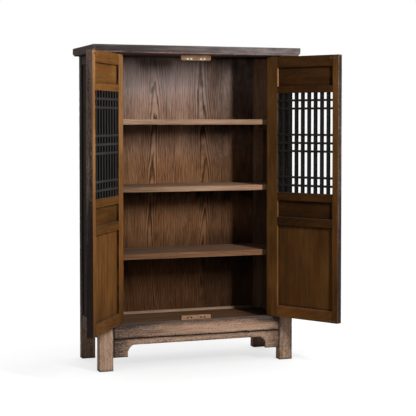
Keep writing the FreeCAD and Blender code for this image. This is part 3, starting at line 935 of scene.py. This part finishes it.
tongue_low = [inner_left, apron_low[Y] + TONGUE_INSET, apron_top - TONGUE_OVERLAP]
tongue_high = [inner_right, apron_high[Y] - TONGUE_INSET, rail_low[Z]]
solids = [apron(), plank(tongue_low, tongue_high, X, "bar")]
piece("front_apron", solids, wear=apron_wear, grime=apron_dirt_and_shade)

# Sides: stained on the outer half of each piece

GROOVE_REACH = 3 * MM
# The wear and the tone of a side rail, and what lies on its outer half
SIDE_RAIL_LOOKS = {"bottom": (0.44, 0.2, "dust"), "top": (0.1, 0.9, "grime")}


def outer_half(low, high):
    middle = abs(low[X] + high[X]) / 2
    return beside(OUT, middle, -1, 1)


for side in SIDES:
    for level, (rail_worn, rail_tone, soil) in SIDE_RAIL_LOOKS.items():
        node = f"{side}_{level}_side_rail"
        low, high = span(node)
        low[Y], high[Y] = front_leg_back, rear_leg_front
        outer = outer_half(low, high)
        amounts = {"coat": layered(0.0, (1.0, outer)), soil: layered(0.0, (0.5, outer))}
        piece(node, [plank(low, high, Y, "rail")], wear=rail_worn, tone=rail_tone, **amounts)
    node = f"{side}_side_panel"
    low, high = span(node)
    low[Y], high[Y] = front_leg_back - GROOVE_REACH, rear_leg_front + GROOVE_REACH
    low[Z] = span(f"{side}_bottom_side_rail")[1][Z] - GROOVE_REACH
    high[Z] = span(f"{side}_top_side_rail")[0][Z] + GROOVE_REACH
    outer = outer_half(low, high)
    # The side panels' outer faces are darker: painted shade of the recessed panels, over light dirt on both
    # faces
    piece(node, [plank(low, high, Z, "panel")], wear=0.05, tone=inner_panel_painted_light,
          coat=layered(0.0, (1.0, outer)), grime=layered(0.12, (0.68, outer)))

# Rear rails, with painted shade in the right corner of the inside, ahead of the back boards

AHEAD_OF_BACK = (Y, 0.350, 0.345)
RIGHT_CORNER = (X, 0.22, 0.44)
right_corner_painted_shade = layered(0.0, (0.80, AHEAD_OF_BACK, RIGHT_CORNER))
for node in ("rear_bottom_rail", "rear_top_rail"):
    low, high = span(node)
    low[X], high[X] = inner_left, inner_right
    piece(node, [plank(low, high, X, "rail")], coat=0.0, tone=1.0, grime=right_corner_painted_shade)

# Back boards


def flame(nearest, climb, phase):
    """Depth of the log's heart under a board. It grows upward, so that the rings open like flames."""
    def at(height):
        drift = 0.35 * np.sin(height * 4.3 + phase) + 0.12 * np.sin(height * 15.7 + 2 * phase)
        return nearest + climb * np.maximum(height - 0.2 + 0.12 * drift, 0.0)
    return at


# For each board: how far the log's heart lies aside of its middle, and how deep under it
BACK_HEARTS = {
    1: (0.030, flame(0.010, 0.050, 0.4)),
    2: (0.000, flame(0.003, 0.040, 1.9)),
    3: (-0.021, flame(0.003, 0.044, 3.4)),
    4: (-0.220, flame(0.02, 0.020, 2.2)),
}
# Under each shelf: how far down its painted shade reaches, and how strong it is
SHELF_SHADES = {
    "bottom_shelf": (115 * MM, 1.0),
    "middle_shelf": (140 * MM, 1.5),
    "top_shelf": (70 * MM, 0.75),
}
SHADE_FULL_BELOW = 15 * MM
SHADE_ENDS_ABOVE = 5 * MM
FLAME_PLACES = (-0.131, 0.152)
FLAME_WIDTH = 15 * MM
FLAME_NOISE = (26.0, 6.3)
FLAME_PATCHES = (0.42, 0.70)
BACK_LAP = 9 * MM
SEAM_LINE = (4 * MM, MM)
REAR_FACE_TONE = 0.8
REAR_FACE_DIRT = 0.42
DARKEST_BACK = 0.94
REAR_SEAMS = [span(f"back_board_{number}")[0][X] + BACK_LAP for number in (2, 3, 4)]
back_middle = (back_front + back_rear) / 2
FRONT_LAYER = beside(Y, back_middle, 1, -1)
TOWARD_RIGHT_WALL = (X, 0.02, 0.28)
LEFT_OF_RIGHT_WALL = (X, 0.25, 0.05)
# A band where the painted shade toward the right is weaker
LESS_SHADED_BAND = ((Z, 0.58, 0.66), (Z, 0.87, 0.80))
UNDER_CROWN = (Z, 1.47, 1.56)
DUSTY_TOP = (Z, 1.30, 1.46)
# Grey dust on the upper middle of the boards
back_dust = layered(0.0, (0.48, FRONT_LAYER, DUSTY_TOP, LEFT_OF_RIGHT_WALL))
# Greyer and lighter near the top, and darkest at the bottom
back_tone = layered(REAR_FACE_TONE, (0.10 - REAR_FACE_TONE, FRONT_LAYER),
                    (0.38, FRONT_LAYER, (Z, 0.46, 0.80)), (0.20, FRONT_LAYER, (Z, 0.95, 1.15)),
                    (0.08, FRONT_LAYER, (Z, 1.20, 1.26)), (0.24, FRONT_LAYER, (Z, 1.26, 1.42)))


def under_shelves(height):
    """Painted shade: most right under a shelf, fading over the next few centimetres down."""
    shades = []
    for shelf, (reach, share) in SHELF_SHADES.items():
        underside = span(shelf)[0][Z]
        below = height < underside + SHADE_ENDS_ABOVE
        shades.append(share * below * smooth(underside - reach, underside - SHADE_FULL_BELOW, height))
    return np.max(shades, axis=0)


def back_dirt_and_shade(points):
    """The boards' front faces carry painted shade toward the right side, just under each shelf and under the
    crown, and are darker in the flames; the rear faces carry dirt, darker at the seams.
    """
    x = points[:, X]
    right = overlap(points, TOWARD_RIGHT_WALL) * (1.0 - 0.35 * overlap(points, *LESS_SHADED_BAND))
    flames = np.max([np.exp(-((x - place) / FLAME_WIDTH) ** 2) for place in FLAME_PLACES], axis=0)
    flames = flames * smooth(*FLAME_PATCHES, field(points, *FLAME_NOISE))
    dirt_and_shade = 0.10 + 0.50 * right + 0.50 * under_shelves(points[:, Z]) * (1.0 - 0.4 * right)
    dirt_and_shade = dirt_and_shade + 0.34 * flames + 0.12 * overlap(points, UNDER_CROWN)
    seams = np.max([smooth(*SEAM_LINE, np.abs(x - place)) for place in REAR_SEAMS], axis=0)
    front = overlap(points, FRONT_LAYER)
    return front * np.minimum(dirt_and_shade, DARKEST_BACK) + (REAR_FACE_DIRT + 0.35 * seams) * (1.0 - front)


rear_rail_top = span("rear_bottom_rail")[1][Z]
for number, heart in BACK_HEARTS.items():
    node = f"back_board_{number}"
    low, high = span(node)
    low[Z] = rear_rail_top
    half = (high[Y] - low[Y]) / 2
    front_high = high - [0 if number == len(BACK_HEARTS) else BACK_LAP, half, 0]
    rear_low = low + [0 if number == 1 else BACK_LAP, half, 0]
    layers = [plank(low, front_high, Z, "lap"), plank(rear_low, high, Z, "lap")]
    for layer in layers:
        layer["low"], layer["high"] = low, high
    piece(node, layers, heart=heart, material="back_wood", coat=0.0, tone=back_tone, grime=back_dirt_and_shade,
          dust=back_dust)

# Shelves and their cleats

NOTCH_CLEARANCE = 0.5 * MM
SHELF_LENGTH = (X, -0.35, 0.25)
# The tones of a shelf's left and right ends
SHELF_TONES = {
    "bottom_board": (0.36, 0.24),
    "bottom_shelf": (0.32, 0.50),
    "middle_shelf": (0.62, 1.0),
    "top_shelf": (0.95, 0.72),
}


def leg_notches(low, high):
    """Boxes to cut out of a shelf where legs stand in its way."""
    cutters = []
    for leg_low, leg_high in legs.values():
        cut_low = np.append(leg_low[:Z], low[Z]) - NOTCH_CLEARANCE
        cut_high = np.append(leg_high[:Z], high[Z]) + NOTCH_CLEARANCE
        if (cut_low < high).all() and (cut_high > low).all():
            points, quads = shell(*zip(cut_low, cut_high))
            cutters.append(dict(points=points, quads=quads))
    return cutters


for node, (left_tone, right_tone) in SHELF_TONES.items():
    low, high = span(node)
    special = {}
    if node == "bottom_board":
        low[Y] = max(low[Y], rail_high[Y])
        low[X] = max(low[X], span("left_bottom_side_rail")[1][X])
        high[X] = min(high[X], span("right_bottom_side_rail")[0][X])
        # The bottom board takes the same painted shade in its right corner
        special = dict(grime=right_corner_painted_shade, material="bottom_wood")
    board = carve(plank(low, high, X, "shelf", FREE_ENDS), leg_notches(low, high))
    tone = layered(left_tone, (right_tone - left_tone, SHELF_LENGTH))
    piece(node, [board], coat=0.0, tone=tone, **special)

for side in SIDES:
    for level in ("bottom", "middle", "top"):
        node = f"{side}_{level}_shelf_cleat"
        piece(node, [plank(*span(node), Y, "board", FREE_ENDS)], coat=0.0, tone=0.4)

# Catch blocks with their magnets

MAGNET_CLEARANCE = 0.12 * MM
MAGNET_EDGE = 0.4 * MM
MAGNET_BEVEL = 0.12 * MM
DIMPLE_DEPTH = 0.5 * MM
DIMPLE_RADIUS = 1.1 * MM
DIMPLE_RIM = 1.5 * MM
BLOCK_ROUND = 9 * MM
ROUND_SHARES = (0.04, 0.15, 0.32, 0.55, 0.8, 1.0)
# The tone of a block and the material of its magnets
CATCH_LOOKS = {"top": (0.12, "magnet"), "bottom": (0.9, "dull_magnet")}


def block_shape(low, high, fixed):
    """Rounds the corners of a catch block that point into the cabinet, away from its fixed height."""
    def at(points):
        inset = np.minimum(points[:, X] - low[X], high[X] - points[:, X])
        missing = np.clip(1.0 - inset / BLOCK_ROUND, 0.0, 1.0)
        lift = BLOCK_ROUND * (1.0 - np.sqrt(1.0 - missing ** 2))
        height = high[Z] - low[Z]
        shaped = points.copy()
        shaped[:, Z] = fixed + (points[:, Z] - fixed) * (height - lift) / height
        return shaped
    return at


for level, (block_tone, magnet_look) in CATCH_LOOKS.items():
    low, high = span(f"{level}_catch_block")
    discs = []
    holes = []
    for group in loose_solids(f"{level}_magnets"):
        disc_low, disc_high = group.min(0), group.max(0)
        x, _, z = (disc_low + disc_high) / 2
        radius = (disc_high[X] - disc_low[X]) / 2
        front, rear = disc_low[Y], disc_high[Y]
        holes.append(lathe(cylinder(front - MM, rear, radius + MAGNET_CLEARANCE), (x, 0, z), Y))
        discs.append(lathe([
            (front + DIMPLE_DEPTH, 0), (front + DIMPLE_DEPTH, DIMPLE_RADIUS), (front, DIMPLE_RIM),
            (front, radius - MAGNET_EDGE), (front + MAGNET_BEVEL, radius - MAGNET_BEVEL),
            (front + MAGNET_EDGE, radius), (rear, radius), (rear, 0),
        ], (x, 0, z), Y))
    rounds = [end + way * share * BLOCK_ROUND
              for end, way in ((low[X], 1), (high[X], -1)) for share in ROUND_SHARES]
    shape = block_shape(low, high, high[Z] if level == "top" else low[Z])
    block = plank(low, high, X, "block", FREE_ENDS, shape=shape, extra={X: rounds})
    piece(f"{level}_catch_block", [carve(block, holes)], coat=0.0, tone=block_tone)
    piece(f"{level}_magnets", discs, material=magnet_look)

# Doors, made as they are closed, about their pivots, and then turned to the angle they stand open at

HINGE_EDGE_RADIUS = 8 * MM
HINGE_EDGE_REACH = 1.3 * HINGE_EDGE_RADIUS
HINGE_EDGE_SHARES = (0.06, 0.2, 0.4, 0.65, 1.0)
HINGE_FACE_SHARES = HINGE_EDGE_SHARES + (1.25,)
PIN_RADIUS = 9 * MM
PIN_CHAMFER = MM
PIN_ROOT = 5 * MM
LATTICE_LAP = 0.4 * MM
DOOR_RAILS = ("bottom_rail", "low_rail", "middle_rail", "high_rail", "top_rail")
PANEL_BETWEEN = {
    "lower_panel": ("bottom_rail", "low_rail"),
    "middle_panel": ("low_rail", "middle_rail"),
    "top_panel": ("high_rail", "top_rail"),
}
# A screw's outline: millimetres from the door's inner face or the tip, and shares of the head's radius
SCREW_FOOT = ((-2.0, 0.0), (-2.0, 0.5), (-0.2, 0.98), (0.2, 1.0))
SCREW_TIP = ((-0.1, 0.8), (0.0, 0.45), (-0.15, 0.3), (-0.5, 0.22), (-0.5, 0.0))

# How light each part of the open doors' inner faces is, as painted light and shade: the left door is lighter,
# and lightest at the top
DOOR_PAINTED_LIGHT = {
    "left": dict(
        hinge_stile=(0.46, 0.92), free_stile=(0.56, 1.0), bottom_rail=0.62, low_rail=0.30, middle_rail=0.34,
        high_rail=0.45, top_rail=0.46, lower_panel=(0.46, 0.50), middle_panel=0.22, top_panel=0.48,
    ),
    "right": dict(
        hinge_stile=(0.24, 0.20), free_stile=(0.14, 0.20), bottom_rail=0.32, low_rail=0.0, middle_rail=0.0,
        high_rail=0.0, top_rail=0.04, lower_panel=(0.14, 0.11), middle_panel=0.0, top_panel=0.0,
    ),
}
# How light the bars' faces are on each door: painted light, lighter on the left door
BAR_FACE_PAINTED_LIGHT = {"left": 0.78, "right": 0.44}
# Dirt and painted recess shade along the panels' edges on each door
EDGE_DIRT_AND_SHADE = {"left": 0.45, "right": 0.66}
STILE_LOW_DARKENING = {"left": 0.6, "right": 0.28}
# Painted shade on the hinge stile's recess walls of the left door
WALL_PAINTED_SHADE = {"left": 0.85, "right": 0.0}
LATTICE_WALL_DIRT = 0.55
LOW_DOOR_DARKENING = {"left": 0.42, "right": 0.0}
LOW_DOOR_DARKENING_NOISE = (30.0, 8.1)
LOW_DOOR_DARKENING_HEIGHT = (0.48, 0.24)
LOW_DOOR_DARKENING_RAGGED = 50 * MM
HINGE_DIRT = {("left", "middle_panel"): 0.2, ("right", "middle_panel"): 0.1}
HINGE_DIRT_SHARES = (0.30, 0.80)
PANEL_EDGE_NOISE = (26.0, 3.3)
PANEL_EDGE_WIDTH = 3 * MM
PANEL_EDGE_RAGGED = 7 * MM

# Fades on a closed door. Its inner face is the one at high Y
INNER_FACE = DOOR_THICKNESS / 2
BELOW_INNER_FACE = beside(Y, INNER_FACE, -0.4, -1.6)
RECESS_DIRT_AND_SHADE_DEPTH = beside(Y, INNER_FACE, -0.6, -1.6)
RECESS_TONE_DEPTH = beside(Y, INNER_FACE, -0.8, -1.6)
INNER_HALF = (Y, -3 * MM, 3 * MM)
UP_THE_DOOR = (Z, 0.5, 1.4)
LOW_ON_DOOR = (Z, 1.1, 0.5)
FREE_EDGE_HEIGHT = (Z, 0.45, 1.30)
# The left door's free edge is lighter at the top and still dark at the bottom
FREE_EDGE_WEAR = {"left": layered(0.0, (0.62, FREE_EDGE_HEIGHT)), "right": 0.3}
# Painted light on the hinge stile's recess walls, stronger toward the top
recess_painted_light = layered(0.5, (0.4, (Z, 0.75, 1.35)))


def turned(points, angle):
    """Points turned about the upright axis through the origin."""
    cosine, sine = math.cos(angle), math.sin(angle)
    x, y, z = points.T
    return np.stack([x * cosine - y * sine, x * sine + y * cosine, z], axis=1)


class Door:
    def __init__(self, side):
        self.side = side
        self.hinge_way = SIDES[side]
        self.body = f"{side}_door"
        joint = pivots[self.body]
        self.pivot = np.array(joint["pos_m"]) * [1, 1, 0]
        self.angle = math.radians(max(joint["range_deg"], key=abs))
        self.hinge_inner, self.hinge_edge = self.across("hinge_stile")
        self.free_inner = self.across("free_stile")[1]
        self.open_ends = sorted((self.hinge_inner, self.free_inner))
        self.lattice_ends = (self.box("middle_rail")[1][Z], self.box("high_rail")[0][Z])

    def opened(self, points):
        return turned(points, -self.angle) + self.pivot

    def boxes(self, part):
        """The boxes of a part's solids on the closed door."""
        closed = [turned(group - self.pivot, self.angle) for group in loose_solids(f"{self.body}_{part}")]
        return [(group.min(0), group.max(0)) for group in closed]

    def box(self, part):
        lows, highs = zip(*self.boxes(part))
        return np.min(lows, axis=0), np.max(highs, axis=0)

    def across(self, part):
        """X of a part's two faces, the one farther from the hinge first."""
        low, high = self.box(part)
        return (low[X], high[X])[::self.hinge_way]

    def fit(self, part, solids, **amounts):
        piece(f"{self.body}_{part}", solids, self.body, turn=self.opened, **amounts)

    def tone(self, part):
        """Tone between two heights: painted light and shade."""
        low, high = np.broadcast_to(DOOR_PAINTED_LIGHT[self.side][part], 2)
        return layered(low, (high - low, UP_THE_DOOR))

    def low_darkening(self, points):
        """Darker low on the inner face."""
        ragged = LOW_DOOR_DARKENING_RAGGED * field(points, *LOW_DOOR_DARKENING_NOISE)
        return LOW_DOOR_DARKENING[self.side] * smooth(*LOW_DOOR_DARKENING_HEIGHT, points[:, Z] + ragged)

    def beside_lattice(self):
        """Fades to surfaces next to the lattice opening."""
        bottom, top = self.lattice_ends
        return beside(Z, bottom, -2, 0), beside(Z, top, 2, 0)

    def coat(self, *inner_faces):
        """Stain outside, on the edges and round the lattice; oiled wood on the inner face and in recesses."""
        def at(points):
            stained = overlap(points, BELOW_INNER_FACE)
            inside = overlap(points, INNER_HALF) * (1.0 - overlap(points, *self.beside_lattice()))
            for face in inner_faces:
                stained = stained * (1.0 - overlap(points, face) * inside)
            return stained
        return at


def near_face(axis, place, way):
    """Fade to the face of a part that points to high or low places, way 1 or -1, along an axis."""
    return beside(axis, place, -2.5 * way, -1.5 * way)


def hinge_stile(door):
    """The stile with its rounded hinge edge and, turned in one piece with it, the two pivots."""
    low, high = door.box("hinge_stile")
    low[Z], high[Z] = (corner[Z] for corner in door.box("free_stile"))

    def hinge_radius(points, radius):
        near = np.abs(points[:, X] - door.hinge_edge) < HINGE_EDGE_REACH
        return np.where(near, HINGE_EDGE_RADIUS, radius)

    inward = -door.hinge_way * HINGE_EDGE_RADIUS
    face_stops = [door.hinge_edge + share * inward for share in HINGE_FACE_SHARES]
    edge_stops = [way * (INNER_FACE - share * HINGE_EDGE_RADIUS)
                  for way in SIDES.values() for share in HINGE_EDGE_SHARES]
    stile = plank(low, high, Z, "stile", FREE_ENDS, hinge_radius, extra={X: face_stops, Y: edge_stops})
    pins = []
    for start, end, way in ((low[Z] + PIN_ROOT, pin_bottom, -1), (high[Z] - PIN_ROOT, pin_top, 1)):
        profile = [(start, 0), (start, PIN_RADIUS), (end - way * PIN_CHAMFER, PIN_RADIUS),
                   (end, PIN_RADIUS - PIN_CHAMFER), (end, 0)]
        pins.append(lathe(profile[::way], (0, 0, 0), Z))
    wall = near_face(X, door.hinge_inner, -door.hinge_way)
    wall_shade = WALL_PAINTED_SHADE[door.side]
    # Painted shade on the recess walls, and dark dirt on the walls beside the lattice
    recess_dirt_and_shade = layered(0.0, (wall_shade, wall, RECESS_DIRT_AND_SHADE_DEPTH),
                           (LATTICE_WALL_DIRT - wall_shade, wall, RECESS_DIRT_AND_SHADE_DEPTH, *door.beside_lattice()))

    def tone(points):
        """Lighter on the inner walls of the upper recesses, as painted light."""
        flat = door.tone("hinge_stile")(points)
        return flat + (recess_painted_light(points) - flat) * overlap(points, wall, RECESS_TONE_DEPTH)

    door.fit("hinge_stile", [stile] + pins, coat=door.coat(wall), wear=0.2, tone=tone,
             grime=highest(recess_dirt_and_shade, door.low_darkening))


def free_stile(door):
    stile = plank(*door.box("free_stile"), Z, "stile", FREE_ENDS)
    darker_low = layered(0.0, (STILE_LOW_DARKENING[door.side], BELOW_INNER_FACE, LOW_ON_DOOR))
    wall = near_face(X, door.free_inner, door.hinge_way)
    door.fit("free_stile", [stile], coat=door.coat(wall), wear=FREE_EDGE_WEAR[door.side],
             tone=door.tone("free_stile"), grime=highest(darker_low, door.low_darkening))


def door_rail(door, part):
    """A rail, with dirt in the joint lines at its two ends."""
    low, high = door.box(part)
    low[X], high[X] = door.open_ends
    faces = []
    if part != "bottom_rail":
        faces.append(near_face(Z, low[Z], -1))
    if part != "top_rail":
        faces.append(near_face(Z, high[Z], 1))
    joints = layered(0.0, (0.75, beside(X, low[X], 3, 0.4)),
                     (0.75, beside(X, high[X], -3, -0.4)))
    door.fit(part, [plank(low, high, X, "stile")], coat=door.coat(*faces), wear=0.2, tone=door.tone(part),
             grime=highest(joints, door.low_darkening))


def door_panel(door, part):
    """A panel, with dirt and painted recess shade along its four edges on the inner face, and dirt toward the
    hinge side.
    """
    under, over = PANEL_BETWEEN[part]
    low, high = door.box(part)
    low[X], high[X] = door.open_ends[0] - GROOVE_REACH, door.open_ends[1] + GROOVE_REACH
    low[Z], high[Z] = door.box(under)[1][Z] - GROOVE_REACH, door.box(over)[0][Z] + GROOVE_REACH
    middle = (low[Y] + high[Y]) / 2
    free_end, hinge_end = (low[X], high[X])[::door.hinge_way]
    toward_hinge = (X, *[free_end + share * (hinge_end - free_end) for share in HINGE_DIRT_SHARES])

    def edge_dirt_and_shade(points):
        inset = np.minimum(points - low, high - points)[:, [X, Z]].min(axis=1) - GROOVE_REACH
        ragged = PANEL_EDGE_WIDTH + PANEL_EDGE_RAGGED * field(points, *PANEL_EDGE_NOISE)
        return EDGE_DIRT_AND_SHADE[door.side] * smooth(1.0, 0.0, inset / ragged)

    hinge_grime = layered(0.0, (HINGE_DIRT.get((door.side, part), 0.0), toward_hinge))
    panel = plank(low, high, Z if part == "lower_panel" else X, "panel")
    door.fit(part, [panel], coat=layered(0.0, (1.0, beside(Y, middle, 0.5, -0.5))), wear=0.15,
             tone=door.tone(part), grime=highest(edge_dirt_and_shade, hinge_grime, door.low_darkening))


def lattice(door):
    """The lattice's upright bars and its crossbars, which lap over each other."""
    def bar_tone(points):
        """The bars' inner and outer faces are lighter than their sides; the left door's are lighter than the
        right's, as painted light.
        """
        outer, inner = points[:, Y].min(), points[:, Y].max()
        face_tone = BAR_FACE_PAINTED_LIGHT[door.side]
        return layered(0.12, (face_tone, beside(Y, inner, -1.2, -0.5)),
                       (face_tone, beside(Y, outer, 1.2, 0.5)))(points)

    uprights = []
    for low, high in door.boxes("lattice_uprights"):
        low[Z], high[Z] = door.lattice_ends
        high[Y] -= LATTICE_LAP
        uprights.append(plank(low, high, Z, "bar"))
    door.fit("lattice_uprights", uprights, coat=0.0, tone=bar_tone)
    crossbars = []
    for low, high in door.boxes("lattice_crossbars"):
        low[X], high[X] = door.open_ends
        low[Y] += LATTICE_LAP
        crossbars.append(plank(low, high, X, "bar"))
    door.fit("lattice_crossbars", crossbars, coat=0.0, tone=bar_tone)


def strike_screws(door):
    heads = []
    for low, high in door.boxes("strike_screws"):
        x, _, z = (low + high) / 2
        radius = (high[X] - low[X]) / 2
        outline = ((INNER_FACE, SCREW_FOOT), (high[Y], SCREW_TIP))
        profile = [(start + step * MM, share * radius) for start, steps in outline for step, share in steps]
        heads.append(lathe(profile, (x, 0, z), Y))
    door.fit("strike_screws", heads)


for side in SIDES:
    door = Door(side)
    hinge_stile(door)
    free_stile(door)
    for part in DOOR_RAILS:
        door_rail(door, part)
    for part in PANEL_BETWEEN:
        door_panel(door, part)
    lattice(door)
    strike_screws(door)

# Camera at the photograph's place

camera_data = bpy.data.cameras.new("camera")
camera_data.lens = 105.09
camera_data.sensor_width = 36.0
camera_data.shift_x = 0.0005
camera_data.shift_y = -0.105
camera_data.clip_end = 100.0
camera = place_object("camera", camera_data)
camera.location = (-1.9685, -5.7787, 1.2294)
camera.rotation_euler = (math.radians(87.944), 0.0, math.radians(-19.376))
bpy.context.scene.camera = camera

# Light: a tall narrow softbox close by at the front right, and a faint fill from all round

WHITE = (1.0, 1.0, 1.0, 1.0)
WORLD_FILL = 0.085


def softbox(name, place, aim, width, height, power):
    data = bpy.data.lights.new(name, "AREA")
    data.shape = "RECTANGLE"
    data.size = width
    data.size_y = height
    data.energy = power
    lamp = place_object(name, data)
    lamp.location = place
    lamp.rotation_euler = (Vector(place) - Vector(aim)).to_track_quat("Z", "Y").to_euler()


softbox("key", place=(0.91, -2.83, 2.19), aim=(0.0, 0.0, 2.19), width=0.20, height=1.2, power=113.0)
softbox("back_fill", place=(0.5, 3.9, 2.6), aim=(0.0, 0.3, 0.8), width=3.0, height=2.4, power=85.0)
softbox("left_fill", place=(-2.5, -3.4, 2.0), aim=(0.2, 0.0, 0.9), width=1.6, height=1.6, power=17.0)

world = bpy.data.worlds.new("studio")
bpy.context.scene.world = world
g = Graph(world)
path = g.add("ShaderNodeLightPath").outputs
seen = g.math("MAXIMUM", path["Is Camera Ray"], path["Is Glossy Ray"])
seen = g.math("MAXIMUM", seen, path["Is Transmission Ray"])
strength = g.add("ShaderNodeMapRange", Value=seen, To_Min=WORLD_FILL, To_Max=1.0).outputs[0]
background = g.add("ShaderNodeBackground", Color=WHITE, Strength=strength)
g.add("ShaderNodeOutputWorld", Surface=background.outputs[0])

# Floor: pale, keeps the cabinet's soft shadow, adds a painted contact shadow from ambient occlusion to its
# glow, and turns to plain white further out

FLOOR_SIZE = 60.0
FLOOR_FADE = (0.9, 2.6)
PAPER_COLOUR = (0.8, 0.8, 0.8, 1.0)
SHOWN_COLOUR = (0.24, 0.24, 0.24, 1.0)
SHADOW_REACH = 0.9
GLOW = 0.62
OPEN_GLOW = 0.32
corners = [(-1, -1, 0), (1, -1, 0), (1, 1, 0), (-1, 1, 0)]
floor_mesh = raw_mesh("floor", np.array(corners) * FLOOR_SIZE, [[0, 1, 2, 3]])
floor = place_object("floor", floor_mesh)
floor_mesh.materials.append(bpy.data.materials.new("floor"))
g = Graph(floor_mesh.materials[0])
place = g.add("ShaderNodeTexCoord").outputs["Object"]
far = g.add("ShaderNodeVectorMath", {"operation": "LENGTH"}, n0=place).outputs["Value"]
# Ambient occlusion dims the floor's glow: a painted contact shadow
painted_contact_shadow = g.add("ShaderNodeAmbientOcclusion", {"samples": 8}, Distance=SHADOW_REACH).outputs["AO"]
glow_strength = Number(g, painted_contact_shadow) * OPEN_GLOW + GLOW
paper = g.add("ShaderNodeBsdfDiffuse", Color=PAPER_COLOUR).outputs[0]
shown = g.add("ShaderNodeBsdfDiffuse", Color=SHOWN_COLOUR).outputs[0]
glow = g.add("ShaderNodeEmission", Color=WHITE, Strength=glow_strength).outputs[0]
white = g.add("ShaderNodeEmission", Color=WHITE, Strength=1.0).outputs[0]
soft = g.add("ShaderNodeAddShader", n0=shown, n1=glow).outputs[0]
faded = g.add("ShaderNodeMixShader", n0=g.step(*FLOOR_FADE, far), n1=soft, n2=white).outputs[0]
camera_ray = g.add("ShaderNodeLightPath").outputs["Is Camera Ray"]
floor_look = g.add("ShaderNodeMixShader", n0=camera_ray, n1=paper, n2=faded).outputs[0]
g.add("ShaderNodeOutputMaterial", Surface=floor_look)

bpy.context.scene.view_settings.view_transform = "Standard"
